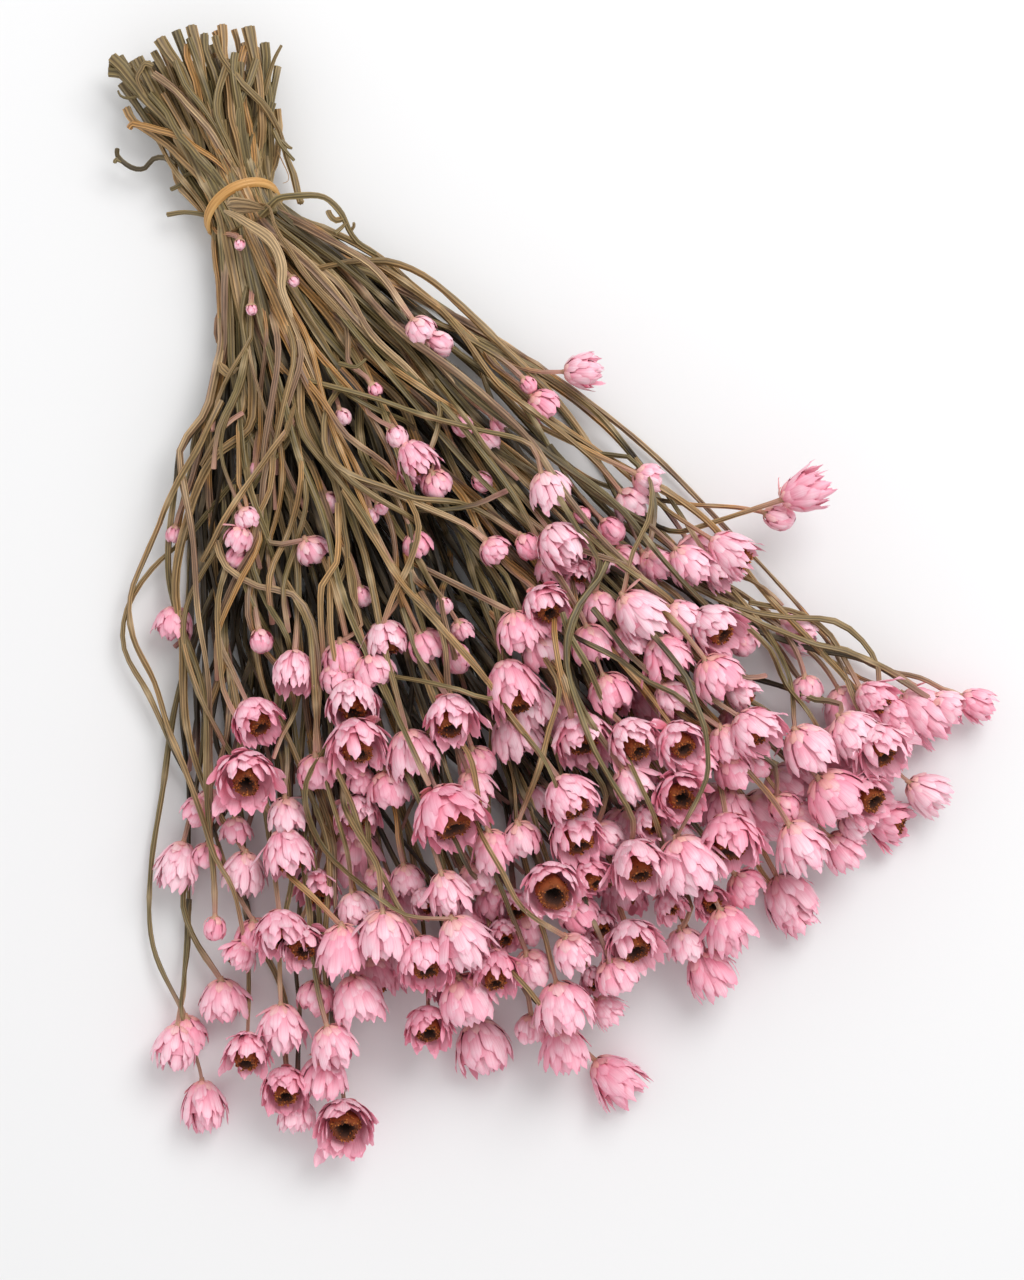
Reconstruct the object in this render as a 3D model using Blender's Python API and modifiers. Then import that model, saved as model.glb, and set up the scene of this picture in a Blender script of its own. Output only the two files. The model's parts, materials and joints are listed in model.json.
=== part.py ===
"""Bunch of dried strawflowers, tied with a rubber band and lying on its side.

The cut stems run along Y and point to +Y, the flowers fan out towards -Y, and
the bunch lies on the plane Z = 0.  The dimensions below are in millimetres and
degrees; the model itself is in metres.
"""

import math

import bmesh
import bpy
import numpy as np
from mathutils import Matrix, Vector

MM = 0.001

# --- driving dimensions (mm, degrees) ---------------------------------------

TIE_HALF_WIDTH = 13.5        # the stems squeezed together inside the band
TIE_HALF_HEIGHT = 10.0
BAND_THICKNESS = 1.6
BAND_WIDTH = 4.0             # along the stems
BAND_LEAN = 0.25             # how far the band runs back for each mm it rises
BAND_FLAT = 0.5              # how much of the band's underside is pressed flat
BAND_POINTS = 36

GAP = 0.3                    # air left between neighbouring pieces

STEM_RADIUS_CUT = 1.60       # a stem tapers from its cut end to its flower
STEM_RADIUS_FLOWER = 0.95
STEM_SIDES_RESOLUTION = 2
CUT_LENGTH = 57.0            # from the tie to the cut ends, give or take
CUT_LENGTH_SPREAD = 7.0
CUT_FAN = 2.4                # how much wider the cut ends are than the tie
CUT_RISE = 1.3               # and how much higher
CUT_SIDE = 7.5               # how far the cut ends lean to the +X side
CUT_SLANT = 0.3              # and how much shorter they are for each mm that way
SPLAY = 1.5                  # stems leave the tie wider than they end up
NECK = 13.0                  # last straight piece of stem under a flower
STATION_STEP = 21.0          # spacing of the points along a stem
SETTLE_ROUNDS = 400

FLOWER_STEPS = 12            # facets around a flower
FLOWER_BASE = 0.17           # radius of the flower's base / flower's radius

# A flower's outline: (along its axis / its length, out from it / its radius).
OPEN_OUTLINE = ((0.00, FLOWER_BASE), (0.10, 0.42), (0.34, 0.74), (0.62, 1.00),
                (0.80, 0.98), (0.74, 0.66), (0.60, 0.42), (0.80, 0.30),
                (0.86, 0.00))
BELL_OUTLINE = ((0.00, FLOWER_BASE), (0.10, 0.55), (0.34, 0.94), (0.58, 1.00),
                (0.86, 0.84), (1.00, 0.58), (0.88, 0.34), (0.70, 0.00))
BUD_OUTLINE = ((0.00, FLOWER_BASE * 1.6), (0.16, 0.72), (0.42, 1.00),
               (0.72, 0.84), (0.94, 0.40), (1.00, 0.00))
FORMS = {
    "open_flower": {"outline": OPEN_OUTLINE, "length": 0.78},
    "bell_flower": {"outline": BELL_OUTLINE, "length": 1.00},
    "bud": {"outline": BUD_OUTLINE, "length": 1.10},
}

# One row for each stem: the flower that it carries, as
#   form, diameter, swing, reach, height, turn, nod
# Swing and reach place the flower's middle around the tie, swing 0 being
# straight along the bunch and positive to +X.  Height is the middle's height
# above the surface, and 0 lets the flower rest on it.  Turn is how far the
# flower looks aside from its swing, and nod how far it looks up.
STEMS = (
    ("bell_flower", 20, 28.5, 295, 0, 8, 6),
    ("open_flower", 19, 21.5, 314, 0, 20, 16),
    ("open_flower", 22, 24.5, 292, 36, -24, 34),
    ("bell_flower", 17, 37.5, 220, 30, 46, 10),
    ("bell_flower", 13, 39, 132, 22, 26, 10),
    ("bell_flower", 14, 27.5, 244, 14, 12, 4),
    ("bell_flower", 16, 29.5, 208, 34, 2, 14),
    ("bell_flower", 18, 13.5, 308, 0, -10, 0),
    ("open_flower", 25, 12.5, 279, 44, -30, 32),
    ("bell_flower", 17, 6.5, 313, 16, -4, -6),
    ("open_flower", 19, 14, 242, 52, -6, 44),
    ("open_flower", 22, 3, 291, 36, -8, 42),
    ("open_flower", 23, -0.5, 261, 50, -4, 60),
    ("bell_flower", 18, -2, 331, 0, 24, 6),
    ("bell_flower", 19, -9, 305, 0, 2, 8),
    ("open_flower", 19, -12, 294, 26, -10, 44),
    ("open_flower", 23, -18.5, 323, 17, 2, 62),
    ("open_flower", 18, -24.5, 296, 22, 0, 36),
    ("bell_flower", 17, -27.5, 314, 0, 8, 6),
    ("open_flower", 21, -21.5, 254, 34, 6, 30),
    ("bell_flower", 16, -30.5, 230, 12, -8, 4),
    ("open_flower", 24, -24, 200, 40, 10, 56),
    ("open_flower", 23, -12.5, 193, 46, 0, 34),
    ("open_flower", 28, -6, 225, 52, 6, 28),
    ("bell_flower", 20, 4.5, 192, 44, -12, 26),
    ("bell_flower", 14, -18, 163, 38, -10, 20),
    ("bell_flower", 14, 9.5, 108, 36, -4, 24),
    ("bell_flower", 17, 18, 163, 44, -6, 24),
)

# Side twigs: the stem they leave, how far from the tie they leave it, and the
# flower they carry, as above.
TWIGS = (
    (4, 150, ("bud", 9, 35, 218, 22, 14, 0)),
    (1, 205, ("bell_flower", 12, 31, 311, 12, 6, 4)),
    (19, 190, ("bell_flower", 15, -29.5, 294, 12, -2, 4)),
)

# Stems that run otherwise: how much wider than its swing the stem leaves the
# tie, and how long the straight piece under its flower is.
OWN_SPLAY = {4: 0.85, 19: 1.25}
OWN_NECK = {4: 40.0}

STEM_COLOR = (0.28, 0.19, 0.09, 1.0)
BAND_COLOR = (0.62, 0.31, 0.09, 1.0)
FLOWER_COLORS = {
    "open_flower": (0.80, 0.33, 0.46, 1.0),
    "bell_flower": (0.83, 0.38, 0.50, 1.0),
    "bud": (0.78, 0.29, 0.42, 1.0),
}

TIE_HEIGHT = TIE_HALF_HEIGHT + GAP + BAND_THICKNESS - BAND_FLAT


# --- the scene ---------------------------------------------------------------

def clear_scene():
    for thing in list(bpy.data.objects):
        bpy.data.objects.remove(thing, do_unlink=True)


def make_collection(name):
    collection = bpy.data.collections.new(name)
    bpy.context.scene.collection.children.link(collection)
    return collection


def make_material(name, color, roughness):
    material = bpy.data.materials.new(name)
    material.use_nodes = True
    shader = material.node_tree.nodes["Principled BSDF"]
    shader.inputs["Base Color"].default_value = color
    shader.inputs["Roughness"].default_value = roughness
    shader.inputs["Metallic"].default_value = 0.0
    return material


# --- where the flowers are ---------------------------------------------------

def outline_of(form, diameter):
    """The flower's outline in mm, from its base to its tip."""
    length = FORMS[form]["length"] * diameter
    return [(along * length, out * diameter / 2)
            for along, out in FORMS[form]["outline"]]


def place_flower(row):
    """The base point and looking direction of the flower in one row."""
    form, diameter, swing, reach, height, turn, nod = row
    yaw = math.radians(swing + turn)
    rise = math.radians(nod)
    axis = Vector((math.sin(yaw) * math.cos(rise),
                   -math.cos(yaw) * math.cos(rise), math.sin(rise)))
    outline = outline_of(form, diameter)
    half = outline[-1][0] / 2
    if height == 0:
        lowest = min((along - half) * axis.z - out * math.cos(rise)
                     for along, out in outline)
        height = -lowest
    swung = math.radians(swing)
    middle = Vector((reach * math.sin(swung), -reach * math.cos(swung), height))
    return {"form": form, "diameter": diameter, "axis": axis, "middle": middle,
            "base": middle - half * axis, "length": 2 * half}


# --- how the stems run -------------------------------------------------------

def hermite(start, end, slope_start, slope_end, span, t):
    """A cubic that leaves start and meets end with the given slopes."""
    return ((2 * t ** 3 - 3 * t ** 2 + 1) * start
            + (t ** 3 - 2 * t ** 2 + t) * slope_start * span
            + (3 * t ** 2 - 2 * t ** 3) * end
            + (t ** 3 - t ** 2) * slope_end * span)


def limited(value, most):
    return max(-most, min(most, value))


def stem_radius(distance):
    """The stem's radius at a distance from the tie along the bunch."""
    share = (distance + CUT_LENGTH) / (CUT_LENGTH + 300.0)
    share = max(0.0, min(1.0, share))
    return STEM_RADIUS_CUT + (STEM_RADIUS_FLOWER - STEM_RADIUS_CUT) * share


def neck_length(flower, wanted):
    """The straight piece under a flower, shorter where the surface is near."""
    room = flower["base"].z - 1.6
    if flower["axis"].z * wanted > room:
        return max(4.0, room / flower["axis"].z)
    return wanted


def first_route(number, flower, row, stations):
    """A stem's wish: one smooth sweep from the cut end to the flower."""
    swing = row[2]
    straight = neck_length(flower, OWN_NECK.get(number, NECK))
    neck = flower["base"] - straight * flower["axis"]
    span = -neck.y
    across = limited(swing / 36.0, 1.0)
    lift = limited((flower["middle"].z - 26.0) / 26.0, 1.0)
    at_tie = Vector((across * TIE_HALF_WIDTH * 0.8,
                     TIE_HEIGHT + lift * TIE_HALF_HEIGHT * 0.8))
    splay = OWN_SPLAY.get(number, SPLAY)
    slope_out = math.tan(math.radians(limited(swing * splay, 46.0)))
    slope_up = 0.22 * lift
    end_x = limited(flower["axis"].x / -flower["axis"].y, 0.8)
    end_z = limited(flower["axis"].z / -flower["axis"].y, 0.5)
    route = []
    for distance in stations:
        if distance <= 0:
            back = min(1.0, -distance / CUT_LENGTH)
            x = at_tie.x * (1 + (CUT_FAN - 1) * back ** 1.2) + CUT_SIDE * back ** 1.2
            z = TIE_HEIGHT + (at_tie.y - TIE_HEIGHT) * (1 + (CUT_RISE - 1) * back)
            z += 2.5 * back
        else:
            t = min(1.0, distance / span)
            x = hermite(at_tie.x, neck.x, slope_out, end_x, span, t)
            z = hermite(at_tie.y, neck.z, slope_up, end_z, span, t)
        route.append((x, z))
    return np.array(route), neck


def settle(routes, reaches, flowers, stations, forks):
    """Push the stems off each other, off the flowers and off the surface."""
    count = len(routes)
    positions = np.array(routes)
    wishes = positions.copy()
    radii = np.array([stem_radius(d) for d in stations])
    alive = np.array([[d <= reach for d in stations] for reach in reaches])
    for child, (parent, station) in forks.items():
        alive[child, :station] = False
    near_tie = np.abs(stations) <= 8.0
    own = {}
    for index, flower in enumerate(flowers):
        own[index] = {index} | ({forks[index][0]} if index in forks else set())

    for turn in range(SETTLE_ROUNDS):
        # Each stem stays smooth and leans back to the sweep it started as,
        # except in the last rounds, which only clear what still touches.
        ease = min(1.0, 5.0 * (1.0 - turn / SETTLE_ROUNDS))
        inner = positions[:, 1:-1]
        smooth = 0.5 * (positions[:, :-2] + positions[:, 2:])
        bend = wishes[:, 1:-1] - 0.5 * (wishes[:, :-2] + wishes[:, 2:])
        loose = alive[:, 1:-1] & alive[:, :-2] & alive[:, 2:]
        inner[loose] += 0.25 * ease * (smooth + bend - inner)[loose]
        positions += 0.02 * ease * (wishes - positions)

        # Neighbouring stems keep their distance at every station.
        for k, radius in enumerate(radii):
            here = np.where(alive[:, k])[0]
            points = positions[here, k]
            apart = points[:, None, :] - points[None, :, :]
            distance = np.hypot(apart[..., 0], apart[..., 1]) + 1e-6
            wanted = 2 * radius + GAP + (0.45 if near_tie[k] else 1.2)
            short = np.clip(wanted - distance, 0.0, None)
            np.fill_diagonal(short, 0.0)
            for child, (parent, station) in forks.items():
                if k <= station + 1 and child in here and parent in here:
                    a = int(np.where(here == child)[0][0])
                    b = int(np.where(here == parent)[0][0])
                    short[a, b] = short[b, a] = 0.0
            push = (apart / distance[..., None]) * (0.5 * short)[..., None]
            positions[here, k] += push.sum(axis=1)

        # The stems pass beside the flowers of the others.
        for index, flower in enumerate(flowers):
            middle = flower["middle"]
            reach = flower["diameter"] / 2 + 2.4
            half = flower["length"] / 2
            for offset in (-half, 0.0, half):
                at = -middle.y + offset
                k = int(np.searchsorted(stations, at)) - 1
                if k < 0 or k + 1 >= len(stations):
                    continue
                t = (at - stations[k]) / (stations[k + 1] - stations[k])
                for stem in range(count):
                    if stem in own[index] or not alive[stem, k + 1]:
                        continue
                    point = (1 - t) * positions[stem, k] + t * positions[stem, k + 1]
                    away = point - np.array((middle.x, middle.z))
                    distance = float(np.hypot(*away)) + 1e-6
                    if distance < reach:
                        push = away / distance * 0.6 * (reach - distance)
                        positions[stem, k] += push
                        positions[stem, k + 1] += push

        # The band holds the stems in, and nothing sinks below the surface.
        for k in np.where(near_tie)[0]:
            room_x = TIE_HALF_WIDTH - radii[k]
            room_z = TIE_HALF_HEIGHT - radii[k]
            u = positions[:, k, 0] / room_x
            v = (positions[:, k, 1] - TIE_HEIGHT) / room_z
            over = np.maximum(np.hypot(u, v), 1.0)
            positions[:, k, 0] /= over
            positions[:, k, 1] = TIE_HEIGHT + (positions[:, k, 1] - TIE_HEIGHT) / over
        floor = radii[None, :] + GAP
        positions[..., 1] = np.maximum(positions[..., 1], floor)
        for child, (parent, station) in forks.items():
            positions[child, station] = positions[parent, station]
    return positions


# --- the pieces --------------------------------------------------------------

def make_tube(name, points, radii, collection):
    """A tapering round stem with closed ends through the given points."""
    curve = bpy.data.curves.new(name, "CURVE")
    curve.dimensions = "3D"
    curve.bevel_depth = MM
    curve.bevel_resolution = STEM_SIDES_RESOLUTION
    curve.use_fill_caps = True
    spline = curve.splines.new("POLY")
    spline.points.add(len(points) - 1)
    for knot, point, radius in zip(spline.points, points, radii):
        knot.co = (*(Vector(point) * MM), 1.0)
        knot.radius = radius
    stem = bpy.data.objects.new(name, curve)
    collection.objects.link(stem)
    return stem


def turn_into_mesh(thing):
    """Swap a curve object for a mesh object with its caps welded on."""
    bpy.context.view_layer.update()
    seen = thing.evaluated_get(bpy.context.evaluated_depsgraph_get())
    mesh = bpy.data.meshes.new_from_object(seen)
    name, collection = thing.name, thing.users_collection[0]
    place = thing.matrix_world.copy()
    bpy.data.objects.remove(thing, do_unlink=True)
    work = bmesh.new()
    work.from_mesh(mesh)
    bmesh.ops.remove_doubles(work, verts=work.verts, dist=0.00001)
    bmesh.ops.recalc_face_normals(work, faces=work.faces)
    work.to_mesh(mesh)
    work.free()
    mesh.name = name
    solid = bpy.data.objects.new(name, mesh)
    solid.matrix_world = place
    collection.objects.link(solid)
    return solid


def join_twig(stem, twig, cutters):
    """Grow a side twig onto its stem, as one piece of wood."""
    cutters.objects.link(twig)
    for collection in list(twig.users_collection):
        if collection is not cutters:
            collection.objects.unlink(twig)
    twig.hide_render = True
    twig.display_type = "WIRE"
    union = stem.modifiers.new("twig", "BOOLEAN")
    union.operation = "UNION"
    union.object = twig


def make_flower(name, flower, collection, material):
    """A turned flower: closed bracts outside, a cup and a disc inside."""
    mesh = bpy.data.meshes.new(name)
    work = bmesh.new()
    outline = outline_of(flower["form"], flower["diameter"])
    rim = [(0.0, 0.0)] + [(out, along) for along, out in outline]
    knots = [work.verts.new((out * MM, 0.0, along * MM))
             for out, along in reversed(rim)]
    for first, second in zip(knots, knots[1:]):
        work.edges.new((first, second))
    work.to_mesh(mesh)
    work.free()
    solid = bpy.data.objects.new(name, mesh)
    collection.objects.link(solid)
    solid.location = flower["base"] * MM
    solid.rotation_euler = flower["axis"].to_track_quat("Z", "Y").to_euler()
    screw = solid.modifiers.new("turn", "SCREW")
    screw.axis = "Z"
    screw.steps = FLOWER_STEPS
    screw.render_steps = FLOWER_STEPS
    screw.use_merge_vertices = True
    screw.merge_threshold = 0.00001
    screw.use_smooth_shade = True
    mesh.materials.append(material)
    return solid


def make_band(collection, material):
    """An oval rubber band, leaning back, with its underside pressed flat."""
    curve = bpy.data.curves.new("rubber_band", "CURVE")
    curve.dimensions = "2D"
    curve.fill_mode = "BOTH"
    curve.extrude = BAND_WIDTH / 2 * MM
    inner = (TIE_HALF_WIDTH + GAP, TIE_HALF_HEIGHT + GAP)
    outer = (inner[0] + BAND_THICKNESS, inner[1] + BAND_THICKNESS)
    for half_width, half_height in (outer, inner):
        spline = curve.splines.new("POLY")
        spline.points.add(BAND_POINTS - 1)
        spline.use_cyclic_u = True
        for index, knot in enumerate(spline.points):
            angle = 2 * math.pi * (index + 0.5) / BAND_POINTS
            x = half_width * math.cos(angle)
            z = max(half_height * math.sin(angle), -TIE_HEIGHT)
            knot.co = (x * MM, z * MM, 0.0, 1.0)
    band = bpy.data.objects.new("rubber_band", curve)
    collection.objects.link(band)
    band = turn_into_mesh(band)
    lean = Matrix.Identity(4)
    lean[1][2] = BAND_LEAN
    upright = Matrix.Rotation(math.radians(90), 4, "X")
    band.data.transform(Matrix.Translation((0, 0, TIE_HEIGHT * MM)) @ lean @ upright)
    band.data.materials.append(material)
    band.data.shade_smooth()
    band.data.set_sharp_from_angle(angle=math.radians(40))
    return band


# --- the whole bunch ---------------------------------------------------------

def make_stations():
    stations = [-CUT_LENGTH, -40.0, -20.0, -8.0, 8.0, 20.0]
    while stations[-1] < 330.0:
        stations.append(stations[-1] + STATION_STEP)
    return np.array(stations)


def main():
    clear_scene()
    bunch = make_collection("dried_strawflower_bunch")
    cutters = make_collection("cutters")
    stem_material = make_material("dry_stem", STEM_COLOR, 0.75)
    band_material = make_material("rubber", BAND_COLOR, 0.55)
    flower_materials = {form: make_material(form + "_bracts", color, 0.6)
                        for form, color in FLOWER_COLORS.items()}

    stations = make_stations()
    rows = list(STEMS) + [row for _, _, row in TWIGS]
    flowers = [place_flower(row) for row in rows]
    routes, necks = zip(*(first_route(index + 1, flower, row, stations)
                          for index, (flower, row) in enumerate(zip(flowers, rows))))
    reaches = [-neck.y - 9.0 for neck in necks]
    forks = {len(STEMS) + index: (stem - 1, int(np.argmin(np.abs(stations - leaves))))
             for index, (stem, leaves, _) in enumerate(TWIGS)}
    routes = settle(routes, reaches, flowers, stations, forks)

    tubes = []
    for index, (flower, neck) in enumerate(zip(flowers, necks)):
        points, radii = [], []
        for k, distance in enumerate(stations):
            if distance > reaches[index]:
                continue
            if index in forks and k < forks[index][1]:
                continue
            x, z = routes[index, k]
            if k == 0:
                # The stem is cut off shorter or longer on its own straight line.
                distance += CUT_LENGTH_SPREAD * math.sin(2.4 * index)
                distance += CUT_SLANT * (x - CUT_SIDE)
                share = (distance - stations[1]) / (stations[0] - stations[1])
                x, z = routes[index, 1] + share * (routes[index, 0] - routes[index, 1])
            points.append(Vector((x, -distance, z)))
            radii.append(stem_radius(distance))
        for point in (neck, flower["base"] - GAP * flower["axis"]):
            points.append(point)
            radii.append(STEM_RADIUS_FLOWER)
        if index in forks:
            radii = [radius * 0.85 for radius in radii]
        tubes.append((points, radii))

    for index, row in enumerate(STEMS):
        number = f"{index + 1:02d}"
        stem = turn_into_mesh(make_tube(f"stem_{number}", *tubes[index], bunch))
        stem.data.materials.append(stem_material)
        make_flower(f"{row[0]}_{number}", flowers[index], bunch,
                    flower_materials[row[0]])
        for twig_index, (parent, _, twig_row) in enumerate(TWIGS):
            if parent != index + 1:
                continue
            child = len(STEMS) + twig_index
            twig = turn_into_mesh(make_tube(f"twig_{number}", *tubes[child], bunch))
            join_twig(stem, twig, cutters)
            make_flower(f"side_{twig_row[0]}_{number}", flowers[child], bunch,
                        flower_materials[twig_row[0]])
        stem.data.shade_smooth()
        stem.data.set_sharp_from_angle(angle=math.radians(50))
    make_band(bunch, band_material)

    # Bring the origin under the middle of the bunch.
    bpy.context.view_layer.update()
    depsgraph = bpy.context.evaluated_depsgraph_get()
    corners = []
    for piece in bunch.objects:
        seen = piece.evaluated_get(depsgraph)
        mesh = seen.to_mesh()
        corners += [piece.matrix_world @ vertex.co for vertex in mesh.vertices]
        seen.to_mesh_clear()
    low = Vector([min(corner[i] for corner in corners) for i in range(3)])
    high = Vector([max(corner[i] for corner in corners) for i in range(3)])
    shift = Vector((-(low.x + high.x) / 2, -(low.y + high.y) / 2, -low.z))
    for piece in list(bunch.objects) + list(cutters.objects):
        piece.location += shift


main()
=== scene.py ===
import json
import math

import bpy
import numpy as np
from mathutils import Matrix, Vector

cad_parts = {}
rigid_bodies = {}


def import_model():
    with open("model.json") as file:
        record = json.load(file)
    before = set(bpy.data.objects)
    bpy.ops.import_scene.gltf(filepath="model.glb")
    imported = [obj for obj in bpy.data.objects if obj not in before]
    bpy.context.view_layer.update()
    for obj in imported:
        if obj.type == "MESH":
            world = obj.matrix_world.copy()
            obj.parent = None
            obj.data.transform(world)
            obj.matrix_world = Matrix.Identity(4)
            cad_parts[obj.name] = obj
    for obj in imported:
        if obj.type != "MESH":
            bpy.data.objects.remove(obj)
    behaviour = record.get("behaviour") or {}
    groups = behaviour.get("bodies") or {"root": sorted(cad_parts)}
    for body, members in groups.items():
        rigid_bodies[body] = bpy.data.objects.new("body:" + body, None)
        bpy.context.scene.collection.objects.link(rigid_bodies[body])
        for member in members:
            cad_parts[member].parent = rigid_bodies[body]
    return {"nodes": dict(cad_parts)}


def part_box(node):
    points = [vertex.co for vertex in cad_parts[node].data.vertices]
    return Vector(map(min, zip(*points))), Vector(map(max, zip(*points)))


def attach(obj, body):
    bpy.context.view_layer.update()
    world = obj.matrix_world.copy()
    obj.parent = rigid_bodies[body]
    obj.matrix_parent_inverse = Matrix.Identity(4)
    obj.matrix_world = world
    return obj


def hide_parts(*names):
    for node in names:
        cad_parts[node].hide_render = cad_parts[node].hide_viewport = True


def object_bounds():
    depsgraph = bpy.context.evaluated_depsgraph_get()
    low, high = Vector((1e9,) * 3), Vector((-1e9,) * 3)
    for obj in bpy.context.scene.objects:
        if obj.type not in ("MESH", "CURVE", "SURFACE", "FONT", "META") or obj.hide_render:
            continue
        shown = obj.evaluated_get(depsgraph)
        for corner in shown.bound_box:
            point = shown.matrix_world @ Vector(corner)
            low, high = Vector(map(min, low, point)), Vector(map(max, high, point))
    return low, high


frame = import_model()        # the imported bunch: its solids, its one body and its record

mm = 0.001
cadBox = [list(corner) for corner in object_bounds()]

# Everything below is worked out in millimetres around the tie, with x across the fan,
# y towards the cut ends and z up from the table.
bandLow, bandHigh = (np.array(corner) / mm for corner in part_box("rubber_band"))
tie = (bandLow + bandHigh) / 2 * (1, 1, 0)
bandWall = {"sides": 1.9, "topAndBottom": 1.7, "under": 1.4}
tieHalfWidth = (bandHigh[0] - bandLow[0]) / 2 - bandWall["sides"]
tieHalfHeight = (bandHigh[2] - bandLow[2]) / 2 - bandWall["topAndBottom"]
tieMiddle = bandLow[2] + bandWall["under"] + tieHalfHeight
tableTop = cadBox[0][2] / mm
fullTurn = 2 * math.pi
goldenTurn = 2.399963        # the angle between one petal and the next
luck = np.random.default_rng(417)


# A place by its swing from the middle line in degrees, its reach from the tie and its
# height above the table.
def spot(swing, reach, height):
    a = math.radians(swing)
    return tie + np.array([reach * math.sin(a), -reach * math.cos(a), height])


# The way a head looks: turned like a swing, and nodding up or (below 0) down.
def lookOf(yaw, nod):
    a, b = math.radians(yaw), math.radians(nod)
    return np.array([math.sin(a) * math.cos(b), -math.cos(a) * math.cos(b), math.sin(b)])


def unit(vector):
    return vector / (np.linalg.norm(vector, axis=-1, keepdims=True) + 1e-9)


def lengthOf(route):
    return np.linalg.norm(np.diff(route, axis=0), axis=1).sum()


def raiseOverTable(route, room):
    route[:, 2] = np.maximum(route[:, 2], tableTop + room)


# A piece is gathered shape by shape and turned into one object at the end. Each point
# carries a mark (four numbers for the colours) and a fibre place (mm across, mm along).
def addShape(heap, points, faces, marks, fibres, slot=0):
    heap["points"].append(np.asarray(points, float))
    heap["marks"].append(np.asarray(marks, float))
    heap["fibres"].append(np.asarray(fibres, float))
    for block in faces:
        block = np.asarray(block) + heap["count"]
        heap["faces"] += block.tolist()
        heap["slots"].append(np.full(len(block), slot))
    heap["count"] += len(points)


# Makes one piece: grow adds a shape for each row, and instead is the node it replaces.
def makePiece(name, paints, grow, rows, instead=None):
    heap = {"points": [], "faces": [], "marks": [], "fibres": [], "slots": [], "count": 0}
    for row in rows:
        grow(heap, row)
    mesh = bpy.data.meshes.new(name)
    mesh.from_pydata((np.concatenate(heap["points"]) * mm).tolist(), [], heap["faces"])
    for label, kind, field in ("mark", "FLOAT_COLOR", "color"), ("fibre", "FLOAT_VECTOR", "vector"):
        values = np.concatenate(heap[label + "s"]).astype(np.float32)
        mesh.attributes.new(label, kind, "POINT").data.foreach_set(field, values.ravel())
    for paint in paints:
        mesh.materials.append(paint)
    mesh.polygons.foreach_set("material_index", np.concatenate(heap["slots"]).astype(np.int32))
    mesh.polygons.foreach_set("use_smooth", np.ones(len(heap["faces"]), bool))
    mesh.update()
    mesh.set_sharp_from_angle(angle=math.radians(75))
    piece = bpy.data.objects.new(name, mesh)
    bpy.context.scene.collection.objects.link(piece)
    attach(piece, "root")
    if instead:
        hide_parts(instead)


# Paints. Those of the flowers and stems read the marks: red is the place along a petal or
# the tone of a stem, and green, blue and alpha are what each paint makes of them.
def newPaint(name, roughness):
    paint = bpy.data.materials.new(name)
    paint.use_nodes = True
    tree = paint.node_tree
    shader = tree.nodes["Principled BSDF"]
    shader.inputs["Roughness"].default_value = roughness
    return paint, tree, shader


def addNode(tree, kind, settings=(), **inputs):
    node = tree.nodes.new(kind)
    for key, value in dict(settings).items():
        setattr(node, key, value)
    for key, value in inputs.items():
        socket = node.inputs[int(key[1:])] if key[1:].isdigit() else node.inputs[key]
        if isinstance(value, bpy.types.NodeSocket):
            tree.links.new(value, socket)
        else:
            socket.default_value = value
    return node


def addRamp(tree, factor, stops):
    ramp = addNode(tree, "ShaderNodeValToRGB", i0=factor)
    band = ramp.color_ramp
    while len(band.elements) < len(stops):
        band.elements.new(0.5)
    for element, (place, color) in zip(band.elements, stops):
        element.position = place
        element.color = (*color, 1.0)
    return ramp.outputs["Color"]


def fibreNoise(tree, across, along, detail=3.0):
    place = addNode(tree, "ShaderNodeAttribute", {"attribute_name": "fibre"})
    stretched = addNode(tree, "ShaderNodeVectorMath", {"operation": "MULTIPLY"},
                        i0=place.outputs["Vector"], i1=(across, along, 1.0))
    return addNode(tree, "ShaderNodeTexNoise", Vector=stretched.outputs[0], Scale=1.0,
                   Detail=detail, Roughness=0.6).outputs[0]


def mixColor(tree, blend, factor, first, second):
    second = (*second, 1) if isinstance(second, tuple) else second
    return addNode(tree, "ShaderNodeMix", {"data_type": "RGBA", "blend_type": blend},
                   i0=factor, i6=first, i7=second).outputs[2]


def spread(tree, value, low, high):
    return addNode(tree, "ShaderNodeMapRange", i0=value, i3=low, i4=high).outputs[0]


def readMarks(tree):
    mark = addNode(tree, "ShaderNodeAttribute", {"attribute_name": "mark"})
    parts = addNode(tree, "ShaderNodeSeparateColor", Color=mark.outputs["Color"])
    return [*parts.outputs[:3], mark.outputs["Alpha"]]


def finishPaint(tree, shader, color, height, relief, depth=0.0003):
    tree.links.new(color, shader.inputs["Base Color"])
    bump = addNode(tree, "ShaderNodeBump", Strength=relief, Distance=depth, Height=height)
    tree.links.new(bump.outputs[0], shader.inputs["Normal"])


# Some petal colours are painted light: root and lower are deeper pink, partly the bract's own colour and
# partly painted shade where the petals overlap; upper is paler, a painted highlight mid-petal; edge
# deepens the margins, painted shade.
petalLook = {
    "root": (0.92, 0.33, 0.44), "lower": (0.95, 0.41, 0.52), "upper": (0.99, 0.62, 0.71),
    "tip": (0.97, 0.48, 0.60), "edge": (0.94, 0.34, 0.47), "pale": (1.0, 0.80, 0.85),
    "deep": (0.92, 0.28, 0.41), "stemSide": (0.86, 0.44, 0.32), "vein": (0.86, 0.62, 0.70),
    "roughness": 0.45, "veinsAcross": 2.6, "veinsAlong": 0.10, "relief": 0.25,
}


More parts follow.
